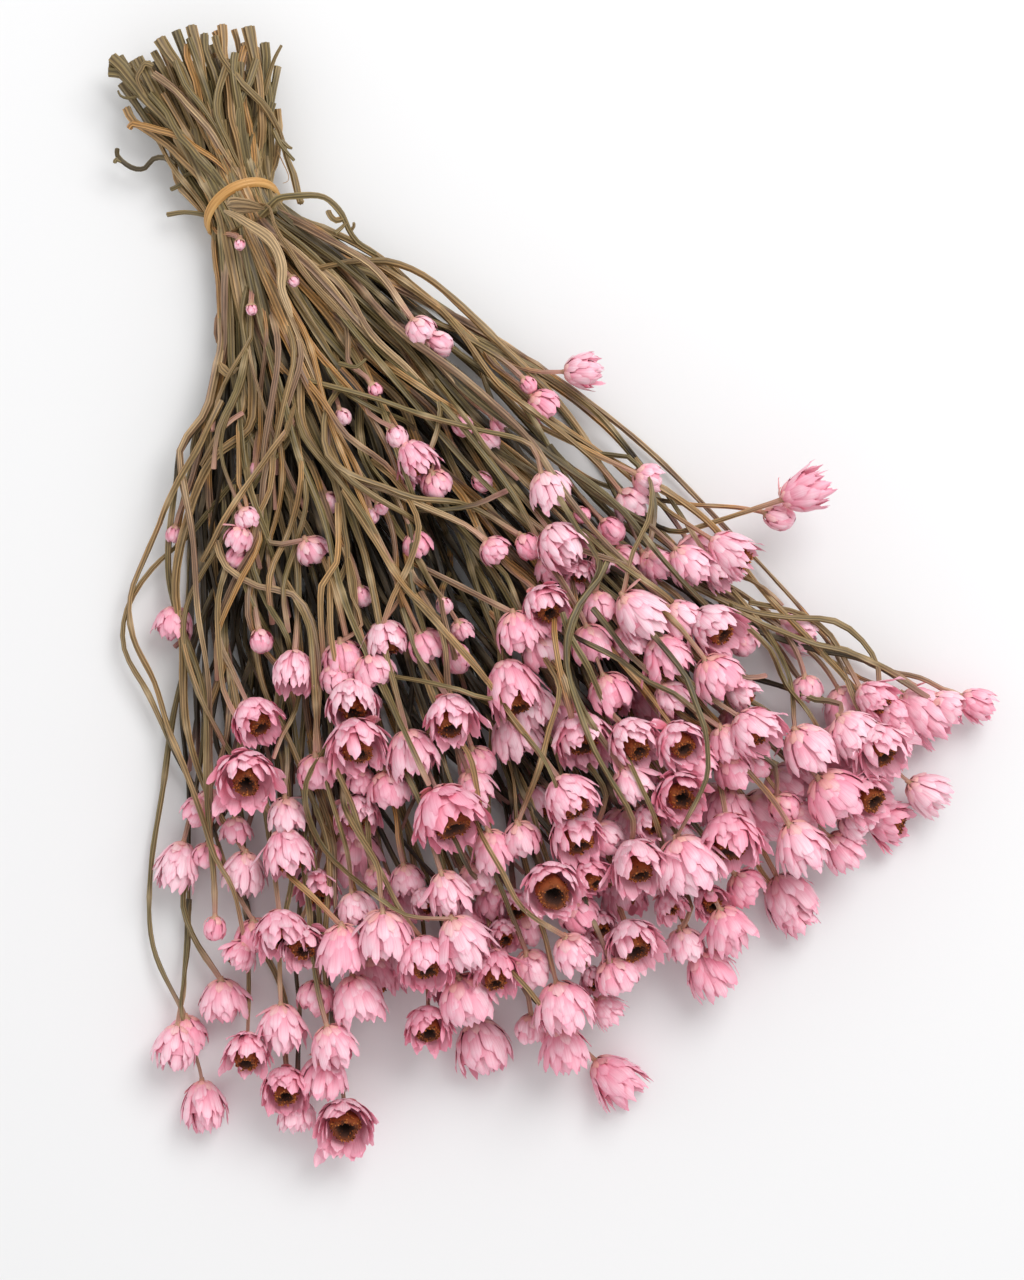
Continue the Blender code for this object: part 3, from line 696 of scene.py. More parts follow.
# The other flowers that show best. Each row is a mood, diameter, swing, reach, height,
# turn and nod.
heroFlowers = (
    ("bell", 13, -34.5, 148, 10, 4, 0), ("bud", 5, -37, 117, 12, 0, 0),
    ("bud", 6, -21.5, 93, 20, 8, -10), ("bell", 8, -23.5, 110, 30, 30, -10),
    ("bell", 9, -25, 117, 29, -20, -16), ("bud", 6.5, -25.5, 123, 24, -30, 0),
    ("bell", 10.5, -13, 124, 28, 20, -20), ("bud", 7, -22, 153, 30, 10, 10),
    ("bud", 3.2, -18.5, 37, 28, 0, 10), ("bud", 3.2, 10, 33, 29, 0, 10),
    ("bud", 3.2, -25, 14, 28, 0, 20),
    ("bell", 11, -29, 213, 16, -24, -18), ("bell", 11, -28, 210, 14, 10, -14),
    ("bell", 9, -28, 228, 16, -4, -12), ("bell", 10, -25.5, 219, 16, 4, -14),
    ("bell", 13, -20.5, 214, 28, 0, -18), ("bud", 7, -27, 253, 20, 0, -10),
    ("half", 11, -25, 262, 20, -24, -4), ("open", 17, -20, 259, 32, 10, 52),
    ("bell", 19, -17, 262, 38, -8, -16), ("bell", 18, -13.5, 259, 42, -6, -18),
    ("half", 19, -11, 271, 42, -6, 34), ("bell", 20, -8, 268, 46, 8, -16),
    ("half", 17, -6.5, 281, 38, -14, 38), ("bell", 19, -9, 288, 32, 4, -22),
    ("half", 13, -10, 282, 28, -10, 36), ("bell", 12, -19.5, 278, 22, -14, -8),
    ("half", 19, -16.5, 280, 28, 4, -6), ("bell", 18, -22, 288, 24, 0, -4),
    ("bell", 16, -18.5, 295, 30, 12, -10), ("bell", 16, -19.5, 306, 20, -10, -10),
    ("half", 17, -22, 309, 20, -2, 50), ("bell", 13, -21.5, 320, 12, -4, 4),
    ("half", 18, -12, 179, 42, -6, 38), ("open", 20, -2.5, 194, 50, -16, 36),
    ("half", 18, -7.5, 201, 44, -4, -4), ("bell", 14, -10.5, 211, 38, 0, -10),
    ("bell", 10, -13, 206, 32, -10, -20), ("half", 15, -14, 217, 30, -4, 36),
    ("half", 11, -10, 252, 34, 20, 36), ("bell", 12, -11, 243, 28, 0, -22),
    ("bell", 8, -13.5, 240, 26, 8, -22), ("open", 16, -18.5, 240, 22, -4, 36),
    ("half", 13, -15.5, 249, 30, 6, -2), ("bell", 14, -3, 220, 40, 0, -20),
    ("bell", 12, -2, 212, 34, -6, -22), ("bell", 15, -3.5, 242, 42, -6, -18),
    ("bell", 17, -8, 251, 44, 2, -14), ("bell", 12, -5.5, 249, 34, 10, -22),
    ("bell", 12, -5, 259, 26, 0, -22), ("half", 13, -3.5, 263, 30, -12, 52),
    ("half", 12, -5, 271, 32, -12, 52), ("bell", 12, -1, 242, 44, -8, -18),
    ("bell", 13, -4, 285, 32, 0, -22), ("half", 20, -3, 301, 36, -6, -2),
    ("bell", 18, -4, 316, 20, -10, -12), ("bell", 11, -5.5, 306, 16, -16, -14),
    ("half", 12, -0.5, 309, 24, 16, -2), ("half", 10, -0.5, 297, 26, 0, 40),
    ("bell", 14, -1, 285, 42, 0, -18), ("bell", 14, 1, 299, 34, -4, -20),
    ("bell", 13, 0.5, 274, 34, 10, -22), ("half", 11, 1.5, 281, 28, 0, 52),
    ("bell", 12, -3.5, 272, 28, -6, -22), ("half", 12, 2.5, 264, 44, 12, 36),
    ("half", 20, 6, 268, 48, -14, 38), ("half", 22, 9, 277, 48, -10, -2),
    ("bell", 18, 9, 305, 26, -8, -20), ("bell", 13, 6, 302, 22, -14, -10),
    ("half", 11, 6.5, 287, 30, -6, 36), ("half", 13, 9, 293, 26, 0, 52),
    ("bell", 13, 11.5, 297, 22, 4, -10), ("half", 13, 8.5, 258, 44, 4, 38),
    ("half", 20, 3, 249, 48, -6, 36), ("bell", 12, 5, 255, 38, 10, -16),
    ("half", 19, 7.5, 221, 46, -14, 36), ("half", 18, 11, 232, 50, -6, 42),
    ("open", 19, 11.5, 256, 48, -6, 62), ("bell", 14, 14, 251, 42, -8, -18),
    ("bell", 13, 17, 253, 42, -14, -20), ("bell", 13, 16, 262, 36, -10, -22),
    ("bell", 10, 17.5, 266, 32, 0, -22), ("bell", 20, 16, 297, 36, -12, -16),
    ("bell", 18, 21, 274, 40, -10, -16), ("bell", 19, 20, 292, 36, -2, -18),
    ("bell", 10, 17, 283, 32, 0, -22), ("bell", 11, 17.5, 290, 26, 6, -26),
    ("half", 17, 24, 282, 34, -10, -2), ("open", 19, 21.5, 300, 30, 4, 50),
    ("bell", 16, 24.5, 317, 14, 10, -10), ("bell", 15, 18, 309, 18, 0, -14),
    ("bell", 13, 20, 305, 20, 6, -14), ("half", 13, 13, 317, 10, 0, 0),
    ("bell", 16, 20, 234, 44, -10, -16), ("half", 12, 20.5, 244, 38, 10, -2),
    ("bell", 14, 12, 214, 44, -14, -18), ("half", 13, 16, 229, 42, -8, -4),
    ("bell", 10, 24.5, 261, 20, -40, -12), ("bell", 14, 22, 148, 42, -20, -10),
    ("bud", 8, 15, 157, 38, -4, 4), ("bell", 12, 15.5, 168, 34, -16, -24),
    ("half", 17, 12, 177, 48, -8, 46), ("bell", 15, 8, 179, 46, -16, -14),
    ("bell", 13, 9, 189, 40, -10, -24), ("half", 11, 17.5, 176, 38, -40, 38),
    ("bell", 8, 20, 178, 34, -6, -24), ("bell", 10, 22, 183, 32, 0, -24),
    ("bud", 8, 23.5, 173, 36, -6, 10), ("bud", 5, 22.5, 162, 36, 0, 10),
    ("bell", 11, 31, 172, 26, 10, -20), ("bell", 12, 27.5, 172, 24, -14, -18),
    ("bell", 15, 26, 201, 36, -10, -16), ("half", 19, 23, 222, 40, 0, 38),
    ("bell", 10, 24, 233, 30, 0, -30), ("bell", 19, 19, 200, 46, 0, -14),
    ("bell", 12, 16.5, 189, 40, -30, -16), ("half", 14, 16.5, 205, 38, -10, -2),
    ("half", 17, 18, 217, 42, -16, -4), ("bell", 13, 21.5, 211, 40, 0, -22),
    ("bell", 14, 13.5, 197, 42, -20, -18), ("half", 17, 5, 203, 38, -10, -6),
    ("half", 18, 2.5, 209, 32, -10, -10), ("bud", 5, 33, 119, 26, -20, 0),
    ("bell", 11, 31.5, 127, 24, -6, -12), ("bell", 11.5, -2, 168, 40, 4, -14),
    ("bud", 9, 0.5, 176, 38, 2, 6), ("bell", 9.5, 2.5, 135, 36, -6, -20),
    ("bud", 6.5, 9, 99, 35, -10, 20), ("bell", 10, 10, 120, 35, -14, -30),
    ("bud", 6.5, 20, 110, 31, 0, 0), ("bell", 7, 25, 119, 29, 10, -20),
    ("bud", 7, 21.5, 120, 27, 0, 0), ("bud", 4.5, -2, 119, 35, -10, 0),
    ("bud", 4, 0, 118, 36, 10, 10), ("bud", 4, 11, 81, 34, 0, 0),
    ("bud", 6, -8, 109, 28, 10, 0), ("bud", 5, 1, 83, 30, 0, 0),
    ("bud", 6, -7.5, 144, 34, 0, 0), ("bud", 5, 2, 158, 37, 0, 0),
    ("bell", 7, 2.5, 168, 35, 0, -30), ("bud", 6, 16, 129, 32, 0, 0),
    ("bell", 13, -12, 163, 36, -4, -20), ("bell", 10, 30, 77, 28, -20, -14),
    ("bud", 8, 30, 85, 27, 6, 0),
)

# Stems that swing out in loops of their own: radius, tone, the flower they carry (mood,
# diameter, turn, nod), how high they lie in the tie (-1 to 1, or None for one that
# forks off), and their points as swing, reach and height.
loopStems = (
    (1.7, 0.45, ("bell", 13, 6, -14), 0.2, ((-20, 74, 12), (-33, 112, 10), (-39, 130, 9),
     (-41, 146, 8), (-40, 160, 8), (-36, 174, 8), (-32, 194, 8), (-28, 216, 10), (-26, 236, 14),
     (-24, 250, 18))),
    (2.0, 0.5, ("bell", 16, -6, -12), 0.9, ((-22, 74, 20), (-32, 90, 19), (-35, 112, 17),
     (-35, 134, 15), (-33, 152, 14), (-31, 184, 14), (-28, 208, 16), (-24.5, 226, 19))),
    (1.5, 0.4, ("half", 18, 8, 12), 0.95, ((-4, 52, 26), (-10, 79, 27), (-21, 96, 25), (-29, 120, 21),
     (-33, 142, 17), (-32, 160, 17), (-28, 182, 18), (-24, 202, 20), (-21, 218, 28))),
    (1.6, 0.9, ("half", 17, 30, 34), 0.8, ((-14, 70, 24), (-20, 97, 27), (-22, 117, 28),
     (-26, 132, 25), (-28, 150, 24), (-26, 162, 26), (-24, 174, 32))),
    (1.5, 1.0, ("bell", 13, 0, -14), None, ((-29, 118, 22), (-27, 127, 27), (-22, 134, 31),
     (-17, 138, 33), (-15, 148, 35), (-15, 162, 36), (-16, 178, 36), (-17, 194, 35))),
    (1.8, 0.5, ("bell", 11, -6, -10), 1.0, ((-4, 56, 27), (-9, 81, 30), (-6, 103, 33), (-7, 120, 34),
     (-8, 131, 35), (-11, 140, 36), (-13, 152, 38), (-13, 164, 37))),
    (1.3, 0.55, ("bell", 13, 6, -8), None, ((-8, 126, 34), (-8, 138, 36), (-9, 150, 39), (-9, 164, 41))),
    (1.3, 0.7, ("half", 14, -4, 10), 0.9, ((2, 50, 26), (7, 84, 31), (6, 104, 33), (3, 124, 36),
     (1, 138, 38), (-2, 148, 39), (-6, 154, 38))),
    (1.2, 1.0, ("bell", 10, 6, -8), 0.95, ((-1, 50, 27), (-2, 80, 33), (-5, 92, 35), (-3, 104, 37),
     (2, 113, 38), (6, 124, 39), (10, 138, 38), (11, 146, 38))),
    (1.5, 0.6, ("half", 18, 0, 18), 0.9, ((-4, 80, 32), (-4, 112, 37), (-2, 136, 41), (0, 158, 45),
     (2, 181, 49), (3, 205, 52), (4, 228, 53))),
    (1.4, 0.15, ("bell", 14, -2, -10), None, ((22, 170, 40), (19, 180, 50), (14, 186, 56),
     (10, 198, 58), (9, 214, 57), (9, 237, 50))),
    (1.9, 0.5, ("bell", 10, -4, -14), 0.5, ((22, 30, 22), (38, 42, 20), (45, 54, 18), (45, 68, 18),
     (41, 86, 18), (37, 106, 18), (34, 127, 18), (31, 146, 20), (28, 162, 24), (24, 186, 32))),
    (1.5, 0.35, ("half", 15, -6, 14), 0.4, ((32, 60, 18), (36, 95, 16), (36, 129, 15), (35, 146, 15),
     (33, 162, 16), (31, 180, 20), (28, 203, 29))),
    (1.1, 0.2, ("bell", 11, 0, -12), None, ((31, 140, 17), (30, 151, 22), (32, 162, 26),
     (31, 171, 29), (29, 179, 31), (24, 188, 34))),
    (1.6, 0.4, ("bell", 12, -2, -6), 0.3, ((20, 120, 24), (24, 190, 26), (26, 224, 26), (28, 240, 24),
     (30, 254, 22), (30, 266, 21), (29, 276, 22), (27, 283, 22))),
    (1.2, 0.45, ("half", 15, 0, 20), None, ((27, 226, 24), (29, 244, 20), (29, 256, 18),
     (28, 266, 20), (27, 274, 24))),
    (1.4, 0.1, ("bell", 12, 8, -18), 0.2, ((22, 150, 22), (25, 226, 22), (27, 251, 20), (29, 272, 20),
     (29.5, 298, 16))),
    (1.3, 0.3, ("bell", 14, 8, -16), -0.2, ((-22, 90, 12), (-31, 148, 8), (-33, 176, 6),
     (-33, 206, 5), (-33, 236, 5), (-32, 262, 5), (-29, 285, 8))),
    (1.3, 0.35, ("bell", 16, 6, -12), None, ((-24, 196, 9), (-28, 222, 9), (-30, 242, 8),
     (-29, 256, 9), (-26.5, 271, 13))),
    (1.4, 0.2, ("half", 18, 0, 20), 0.6, ((16, 120, 34), (18, 180, 40), (19, 207, 44), (18, 229, 46),
     (19, 248, 44))),
)

# Where more fill in below and between: swing, reach, how far they scatter across and
# along, how many, and their lowest and highest middle.
fillers = (
    (-9, 274, 22, 16, 4, 9, 20), (3, 274, 24, 18, 6, 8, 24), (13, 274, 28, 24, 6, 9, 24),
    (22, 286, 22, 18, 5, 8, 20), (12, 228, 32, 24, 5, 12, 28), (24, 206, 16, 20, 1, 11, 24),
    (-16, 240, 20, 20, 1, 10, 18), (4, 245, 24, 20, 2, 12, 28),
)
fillerLook = {"tries": 15, "radius": (7.6, 10.4)}


lengthOfRadius = {"open": 1.4, "half": 1.6, "bell": 1.72, "bud": 2.1}
radiusOfSize = 0.525         # the petals spread a little past the size in the tables
fineFrom = 7.8               # heads with a larger radius get the fine petals


def farEnough(place, radius, taken, overlap=0.66):
    return all(np.linalg.norm(place - other["middle"]) >= overlap * (radius + other["radius"])
               for other in taken)


def addFlower(mood, radius, middle, axis, kind=None):
    kind = kind or ("fine" if radius > fineFrom else "plain")
    length = lengthOfRadius[mood] * radius
    low = math.sqrt(max(0.0, 1 - axis[2] ** 2)) * radius + 0.4
    middle[2] = max(middle[2], low)
    flower = {"mood": mood, "radius": radius, "length": length, "middle": middle, "axis": axis,
              "base": middle - axis * length / 2, "name": None, "stem": None, "kind": kind}
    flowers.append(flower)
    return flower


for flower in flowers:
    flower["middle"] = flower["base"] + flower["axis"] * flower["length"] / 2
for mood, size, swing, reach, height, turn, nod in heroFlowers:
    addFlower(mood, radiusOfSize * size, spot(swing, reach, height), lookOf(swing + turn, nod))
loops = []
for radius, tone, (mood, size, turn, nod), level, points in loopStems:
    swing = points[-1][0]
    axis = lookOf(swing + turn, nod)
    flower = addFlower(mood, radiusOfSize * size, spot(*points[-1]) + axis * size / 2, axis)
    flower["stem"] = "loop"
    loops.append((radius, tone, flower, level, points))
for swing, reach, across, along, count, low, high in fillers:
    added = 0
    aside = np.array([math.cos(math.radians(swing)), math.sin(math.radians(swing))])
    for attempt in range(count * fillerLook["tries"]):
        if added == count:
            break
        offset = luck.normal(0, 0.55, 2) * (across, along)
        middle = spot(swing, reach + offset[1], luck.uniform(low, high))
        middle[:2] += offset[0] * aside
        radius = luck.uniform(*fillerLook["radius"])
        if farEnough(middle, radius, flowers):
            mood = ("bell", "half")[added % 2]
            axis = lookOf(swing + luck.normal(0, 16), luck.normal(-8, 18))
            addFlower(mood, radius, middle, axis, "plain")
            added += 1
print("flowers in all:", len(flowers))

# Some of the other flowers have a stem of their own down to the cut end, in the room
# that the solid stems leave in the tie. The rest branch off a stem nearby.
tieLook = {"cutFan": 2.3, "cutRise": 1.3, "cutLength": 56.0, "cutSide": 7.5, "cutSlant": 0.3,
           "ownStems": 44, "crossing": 4.0}


def curve(start, startAim, end, endAim, count):
    t = np.linspace(0, 1, count)[:, None]
    return ((2 * t ** 3 - 3 * t ** 2 + 1) * start + (t ** 3 - 2 * t ** 2 + t) * startAim
            + (3 * t ** 2 - 2 * t ** 3) * end + (t ** 3 - t ** 2) * endAim)


def throughPoints(points, spacing=3.5):
    points = np.asarray(points, float)
    aims = np.gradient(points, axis=0)
    parts = []
    for i in range(len(points) - 1):
        span = np.linalg.norm(points[i + 1] - points[i])
        first, last = (unit(aim) * span for aim in (aims[i], aims[i + 1]))
        parts.append(curve(points[i], first, points[i + 1], last, max(3, int(span / spacing)))[:-1])
    return np.concatenate(parts + [points[-1:]])


# A stem's route from its cut end to its place in the tie.
def cutEnd(across, height):
    fan = (across - tie[0]) * tieLook["cutFan"] + luck.normal(0, tieLook["crossing"])
    back = tieLook["cutLength"] + luck.uniform(-26, 2) - tieLook["cutSlant"] * fan
    fan += tieLook["cutSide"]
    end = np.array([tie[0] + fan, tie[1] + back,
                    tieMiddle + (height - tieMiddle) * tieLook["cutRise"] + 2.0])
    end[2] = max(end[2], 2.4)
    atTie = np.array([across, tie[1], height])
    lean = np.array([(end[0] - atTie[0]) * luck.uniform(-1.6, -0.9), -back, (height - end[2]) * 0.4])
    return curve(end, lean, atTie, np.array([0, -back * 0.7, 0.0]), 16)


# The widest gaps left in the tie, each taken in turn, from left to right.
def freeSlots(count, trials=300, room=1.2):
    taken = [stem["rail"][np.argmin(np.abs(stem["rail"][:, 1] - tie[1]))][[0, 2]]
             for stem in mainStems]
    found = []
    for step in range(count):
        turn = luck.uniform(0, fullTurn, trials)
        out = np.sqrt(luck.uniform(0, 1, trials))
        trial = np.stack([tie[0] + out * np.cos(turn) * (tieHalfWidth - room),
                          tieMiddle + out * np.sin(turn) * (tieHalfHeight - room)], 1)
        gap = np.linalg.norm(trial[:, None] - np.array(taken)[None], axis=2).min(1)
        taken.append(trial[np.argmax(gap)])
        found.append(taken[-1])
    return sorted(found, key=lambda slot: slot[0] + luck.normal(0, 3.5))


def swingOf(place):
    return math.degrees(math.atan2(place[0] - tie[0], tie[1] - place[1]))


# How much of the tie's half height is left at a place across it.
def bulgeAt(across):
    return math.sqrt(1 - ((across - tie[0]) / tieHalfWidth) ** 2)


# Thin stems that lie on top of the others, most of them up to a head: radius, tone, and
# points in millimetres across and towards the cut ends from the tie.
crossingStems = (
    (1.4, 0.5, ((-35, -59), (-47, -69), (-60, -78), (-73, -88), (-84, -97), (-94, -107), (-99, -120),
     (-99, -138), (-101, -154), (-101, -173), (-102, -187), (-104, -203), (-103, -216), (-101, -228))),
    (1.5, 0.52, ((-23, -126), (-29, -139), (-34, -151), (-37, -163), (-41, -178))),
    (1.5, 0.46, ((-18, -129), (-22, -142), (-23, -152), (-25, -162))),
    (1.4, 0.3, ((-25, -173), (-25, -185), (-25, -198), (-25, -212))),
    (1.5, 0.5, ((-5, -144), (-3, -151), (1, -164), (4, -175), (8, -189), (10, -202))),
    (1.4, 0.28, ((-22, -172), (-12, -179), (-2, -187), (6, -194), (12, -203))),
    (1.3, 0.25, ((-55, -183), (-57, -196), (-59, -209), (-61, -221), (-62, -229))),
    (1.4, 0.42, ((-52, -185), (-52, -203), (-54, -221), (-53, -235), (-52, -249), (-48, -258))),
    (1.3, 0.3, ((-53, -186), (-63, -193), (-68, -204), (-68, -217), (-64, -228), (-57, -240),
     (-51, -249), (-42, -255))),
    (1.6, 0.45, ((-56, -111), (-65, -122), (-72, -138), (-76, -152), (-76, -162))),
    (1.6, 0.42, ((-41, -126), (-40, -135), (-40, -145), (-45, -160), (-52, -177), (-56, -188))),
    (1.3, 0.35, ((-51, -160), (-57, -169), (-64, -175), (-70, -181))),
    (1.5, 0.48, ((-80, -119), (-83, -130), (-85, -149), (-85, -170))),
    (1.3, 0.2, ((-8, -153), (-9, -161), (-10, -170), (-10, -185))),
    (1.1, 0.6, ((-84, -217), (-82, -222), (-79, -228), (-77, -236))),
    (1.2, 0.15, ((-26, -227), (-25, -234), (-25, -245), (-25, -259))),
    (1.4, 0.4, ((88, -139), (89, -147), (87, -153), (81, -162), (72, -169), (65, -180))),
    (1.2, 0.2, ((56, -132), (57, -144), (58, -155), (60, -166), (61, -178))),
    (1.4, 0.22, ((64, -167), (57, -173), (47, -178), (39, -186), (34, -197), (32, -211), (31, -225),
     (32, -238), (33, -252), (35, -266))),
    (1.4, 0.28, ((41, -178), (40, -187), (41, -199), (41, -213), (41, -221))),
    (1.3, 0.12, ((65, -191), (66, -198), (68, -206), (70, -216), (69, -225), (68, -234), (65, -243),
     (61, -250), (51, -266))),
    (1.3, 0.15, ((34, -179), (39, -184), (45, -192), (52, -201), (58, -212), (64, -219), (68, -227),
     (72, -237))),
    (1.5, 0.12, ((51, -181), (53, -189), (56, -201), (61, -212))),
    (1.0, 0.35, ((40, -230), (40, -235), (40, -243), (40, -253), (37, -265))),
    (1.2, 0.32, ((73, -244), (72, -250), (71, -259), (70, -266))),
    (1.1, 0.1, ((77, -244), (81, -250), (85, -256), (88, -265))),
    (1.1, 0.2, ((24, -221), (26, -225), (28, -233), (28, -241), (27, -251))),
    (1.2, 0.5, ((29, -182), (29, -189), (29, -201), (20, -212), (11, -223), (3, -237))),
    (1.2, 0.3, ((3, -192), (8, -200), (11, -208), (14, -220), (14, -231))),
    (1.1, 0.45, ((-16, -228), (-16, -236), (-15, -248), (-14, -263), (-11, -277))),
    (1.1, 0.25, ((39, -283), (39, -289), (37, -297))),
    (1.2, 0.4, ((-29, -274), (-27, -281), (-24, -290), (-22, -300), (-17, -310))),
    (1.3, 0.35, ((99, -195), (102, -206), (104, -217), (104, -232), (104, -248))),
    (1.4, 0.3, ((96, -199), (97, -208), (101, -219), (102, -233), (102, -247))),
    (1.2, 0.4, ((97, -202), (103, -210), (109, -216), (118, -225), (126, -231), (135, -241),
     (144, -253))),
    (1.2, 0.42, ((97, -186), (103, -191), (109, -199), (113, -207))),
    (1.1, 0.2, ((84, -219), (90, -225), (96, -227))),
    (1.1, 0.25, ((94, -226), (103, -235), (109, -242), (116, -247), (119, -252))),
    (1.3, 0.35, ((-8, -63), (1, -71), (16, -84), (28, -96), (42, -108), (56, -121), (62, -131))),
    (1.4, 0.4, ((7, -72), (-1, -77), (-6, -84), (-9, -94), (-5, -103), (4, -112), (12, -120),
     (28, -130), (36, -138))),
    (1.4, 0.5, ((4, -101), (8, -110), (10, -121), (9, -130), (1, -140), (-9, -148), (-19, -158))),
    (0.9, 0.12, ((11, -124), (20, -128), (30, -131), (42, -131))),
    (1.2, 0.2, ((-37, -98), (-39, -105), (-40, -112), (-34, -120))),
    (1.5, 0.52, ((-65, -107), (-48, -96), (-31, -86), (-16, -78), (-11, -75))),
    (1.4, 0.5, ((-51, -76), (-38, -68), (-30, -66))),
    (0.9, 0.8, ((8, -67), (11, -78), (10, -86), (13, -93))),
    (1.1, 0.9, ((2, -140), (10, -150), (17, -159), (24, -171))),
    (1.6, 0.55, ((-13, -110), (-22, -129), (-30, -134), (-41, -159))),
    (1.3, 0.3, ((36, -85), (40, -105), (42, -117), (47, -129))),
    (1.6, 0.5, ((-9, -107), (-7, -124), (-4, -147), (3, -165), (8, -180))),
)
crossingLook = {"headWithin": 12.0, "higherFirst": 0.15, "over": 0.5, "sunkStart": 4.0,
                "sunkEnd": 6.0}
crossings = []
for radius, tone, points in crossingStems:
    end = tie[:2] + np.array(points[-1], float)
    free = [flower for flower in flowers if flower["name"] is None and flower["stem"] is None]
    flower = min(free, key=lambda other: np.linalg.norm(other["base"][:2] - end)
                 - crossingLook["higherFirst"] * other["middle"][2])
    if np.linalg.norm(flower["base"][:2] - end) < crossingLook["headWithin"]:
        flower["stem"] = "loop"
    else:
        flower = None
    crossings.append((radius, tone, points, flower))
ended = sum(flower is not None for radius, tone, points, flower in crossings)
print("stems that end at a head:", ended, "of", len(crossings))

others = [flower for flower in flowers if flower["name"] is None]
seekers = [flower for flower in others if flower["stem"] is None]
step = len(seekers) / tieLook["ownStems"]
owners = [seekers[int(index * step)] for index in range(tieLook["ownStems"])]
owners.sort(key=lambda flower: swingOf(flower["middle"]))
for flower, slot in zip(owners, freeSlots(len(owners))):
    atTie = np.array([slot[0], tie[1], slot[1]])
    span = np.linalg.norm(flower["base"] - atTie)
    swing = swingOf(flower["middle"])
    aim = lookOf(np.clip(swing * 1.4 + luck.normal(0, 9), -48, 48), luck.normal(3, 4)) * span
    onward = curve(atTie, aim, flower["base"], flower["axis"] * span * luck.uniform(0.4, 1.0), 60)
    flower["stem"] = "own"
    addStem(rail=np.concatenate([cutEnd(*slot)[:-1], onward]), sway=luck.uniform(2.5, 6.0),
            radius=luck.uniform(1.2, 2.1))

solidSway = 1.9
for stem in mainStems:
    amount, wave = stem.get("sway", solidSway), luck.uniform(60, 110)
    route = sway(smoothRoute(stem["rail"], 4.2), amount, (0.22, 0.93), wave)
    back = np.clip((route[:, 1] - tie[1] - 8) / 30, 0, 1)        # 0 at the tie, 1 well behind it
    for axis in (0, 2):
        route[:, axis] += (luck.normal(0, 1.3) * np.sin(back * luck.uniform(4, 8)) * back
                           + luck.normal(0, 1.5) * back ** 3)
    stem["route"] = route


# Pushes a route down inside the band, less and less further away from it.
def keepUnderBand(route, radius):
    across = (route[:, 0] - tie[0]) / tieHalfWidth
    inside = tieHalfHeight * np.sqrt(np.clip(1 - across ** 2, 0.03, 1)) - radius
    room = tieMiddle + inside + 0.8 * np.maximum(np.abs(route[:, 1] - tie[1] - 4) - 8, 0)
    route[:, 2] = np.minimum(route[:, 2], room)


# How wide the bundle is on each side, by the distance from the tie, and how softly the
# stems are held inside it.
edgePlaces = (-60, -20, 0, 20, 40, 60, 80, 110)
edges = ((-1, (30, 22, 15, 19, 27, 42, 90, 250)), (1, (36, 25, 19, 33, 48, 60, 90, 250)))
edgeSoft = 7
for radius, tone, flower, level, points in loops:
    places = [spot(*point) for point in points]
    places[-1] = flower["base"]
    if level is not None:
        across = tie[0] + np.clip(points[0][0] * 0.35, -11, 11)
        height = tieMiddle + bulgeAt(across) * level * (tieHalfHeight - 0.8)
        places = list(cutEnd(across, height)[::5]) + places
    route = sway(throughPoints(places), 0.5, (0.2, 0.9))
    addStem(route=route, load=2, radius=radius, tone=tone, cut=level is not None, free=True)
for stem in mainStems:
    route = stem["route"]
    if not stem["name"]:
        keepUnderBand(route, 1.7)
    raiseOverTable(route, 1.4)
    if stem.get("free"):
        continue
    for side, widths in edges:
        edge = np.interp(tie[1] - route[:, 1], edgePlaces, widths) - edgeSoft
        past = side * (route[:, 0] - tie[0]) - edge
        held = edgeSoft * (1 - np.exp(-past / edgeSoft))
        route[:, 0] -= side * np.where(past > 0, past - held, 0)

# Bare stems: a low layer under the rest, and twisted ones that cross over the top. The low
# ones end at a reach that depends on their swing.
bareStems = {"under": 96, "underSwing": (-35, 61), "underHeight": (2.2, 13.0),
             "underEnd": ((-36, -22, 0, 26), (190, 225, 280, 250)),
             "over": 34, "overReach": (30, 205), "overSwing": (-27, 21), "overLength": (44, 80),
             "overTurns": ((0, 0), (0.25, 0.1), (0.5, 0.55), (0.75, 0.95), (1, 1.0))}
known = np.concatenate([stem["route"] for stem in mainStems])


def topOf(place, within=5.0, bareTable=8.0):
    near = np.linalg.norm(known[:, :2] - place[:2], axis=1) < within
    return known[near, 2].max() if near.any() else bareTable


for index in range(bareStems["under"]):
    first, width = bareStems["underSwing"]
    swing = first + width * (index + luck.uniform(0, 1)) / bareStems["under"]
    height = luck.uniform(*bareStems["underHeight"])
    across = tie[0] + np.clip(swing * 0.36, -12, 12)
    places = [np.array([across, tie[1] - 4, tieMiddle - 0.7 * tieHalfHeight * bulgeAt(across)])]
    end = np.interp(swing, *bareStems["underEnd"]) * luck.uniform(0.8, 1.03)
    places += [spot(swing * (1.0 - 0.02 * k) + luck.normal(0, 1.8), 40 + k * (end - 40) / 6,
                    height + luck.uniform(-1.5, 2)) for k in range(7)]
    route = throughPoints(places, 6.0)
    raiseOverTable(route, 1.2)
    # The low layer takes the darkest tones: partly its own dark colour, partly painted shade for the gaps
    # deep in the heap.
    addStem(route=route, load=busy, cut=False, ribs=4, radius=luck.uniform(0.9, 1.7),
            tone=luck.uniform(-0.5, 0.35))
for index in range(bareStems["over"]):
    swing = luck.uniform(*bareStems["overSwing"])
    reach = luck.uniform(*bareStems["overReach"])
    lean = luck.choice((-1, 1)) * luck.uniform(8, 20) * 70 / (reach + 40)
    long = luck.uniform(*bareStems["overLength"])
    radius = luck.uniform(0.9, 1.6)
    places = []
    for share, turn in bareStems["overTurns"]:
        aside = np.clip(swing + lean * (turn + luck.normal(0, 0.08)), -32, 22)
        place = spot(aside, reach + share * long, 0)
        place[2] = topOf(place) + radius * (0.6 if 0 < share < 1 else -3.0)
        places.append(place)
    addStem(route=throughPoints(places), load=busy, cut=False, radius=radius, tone=luck.uniform(0.2, 1))


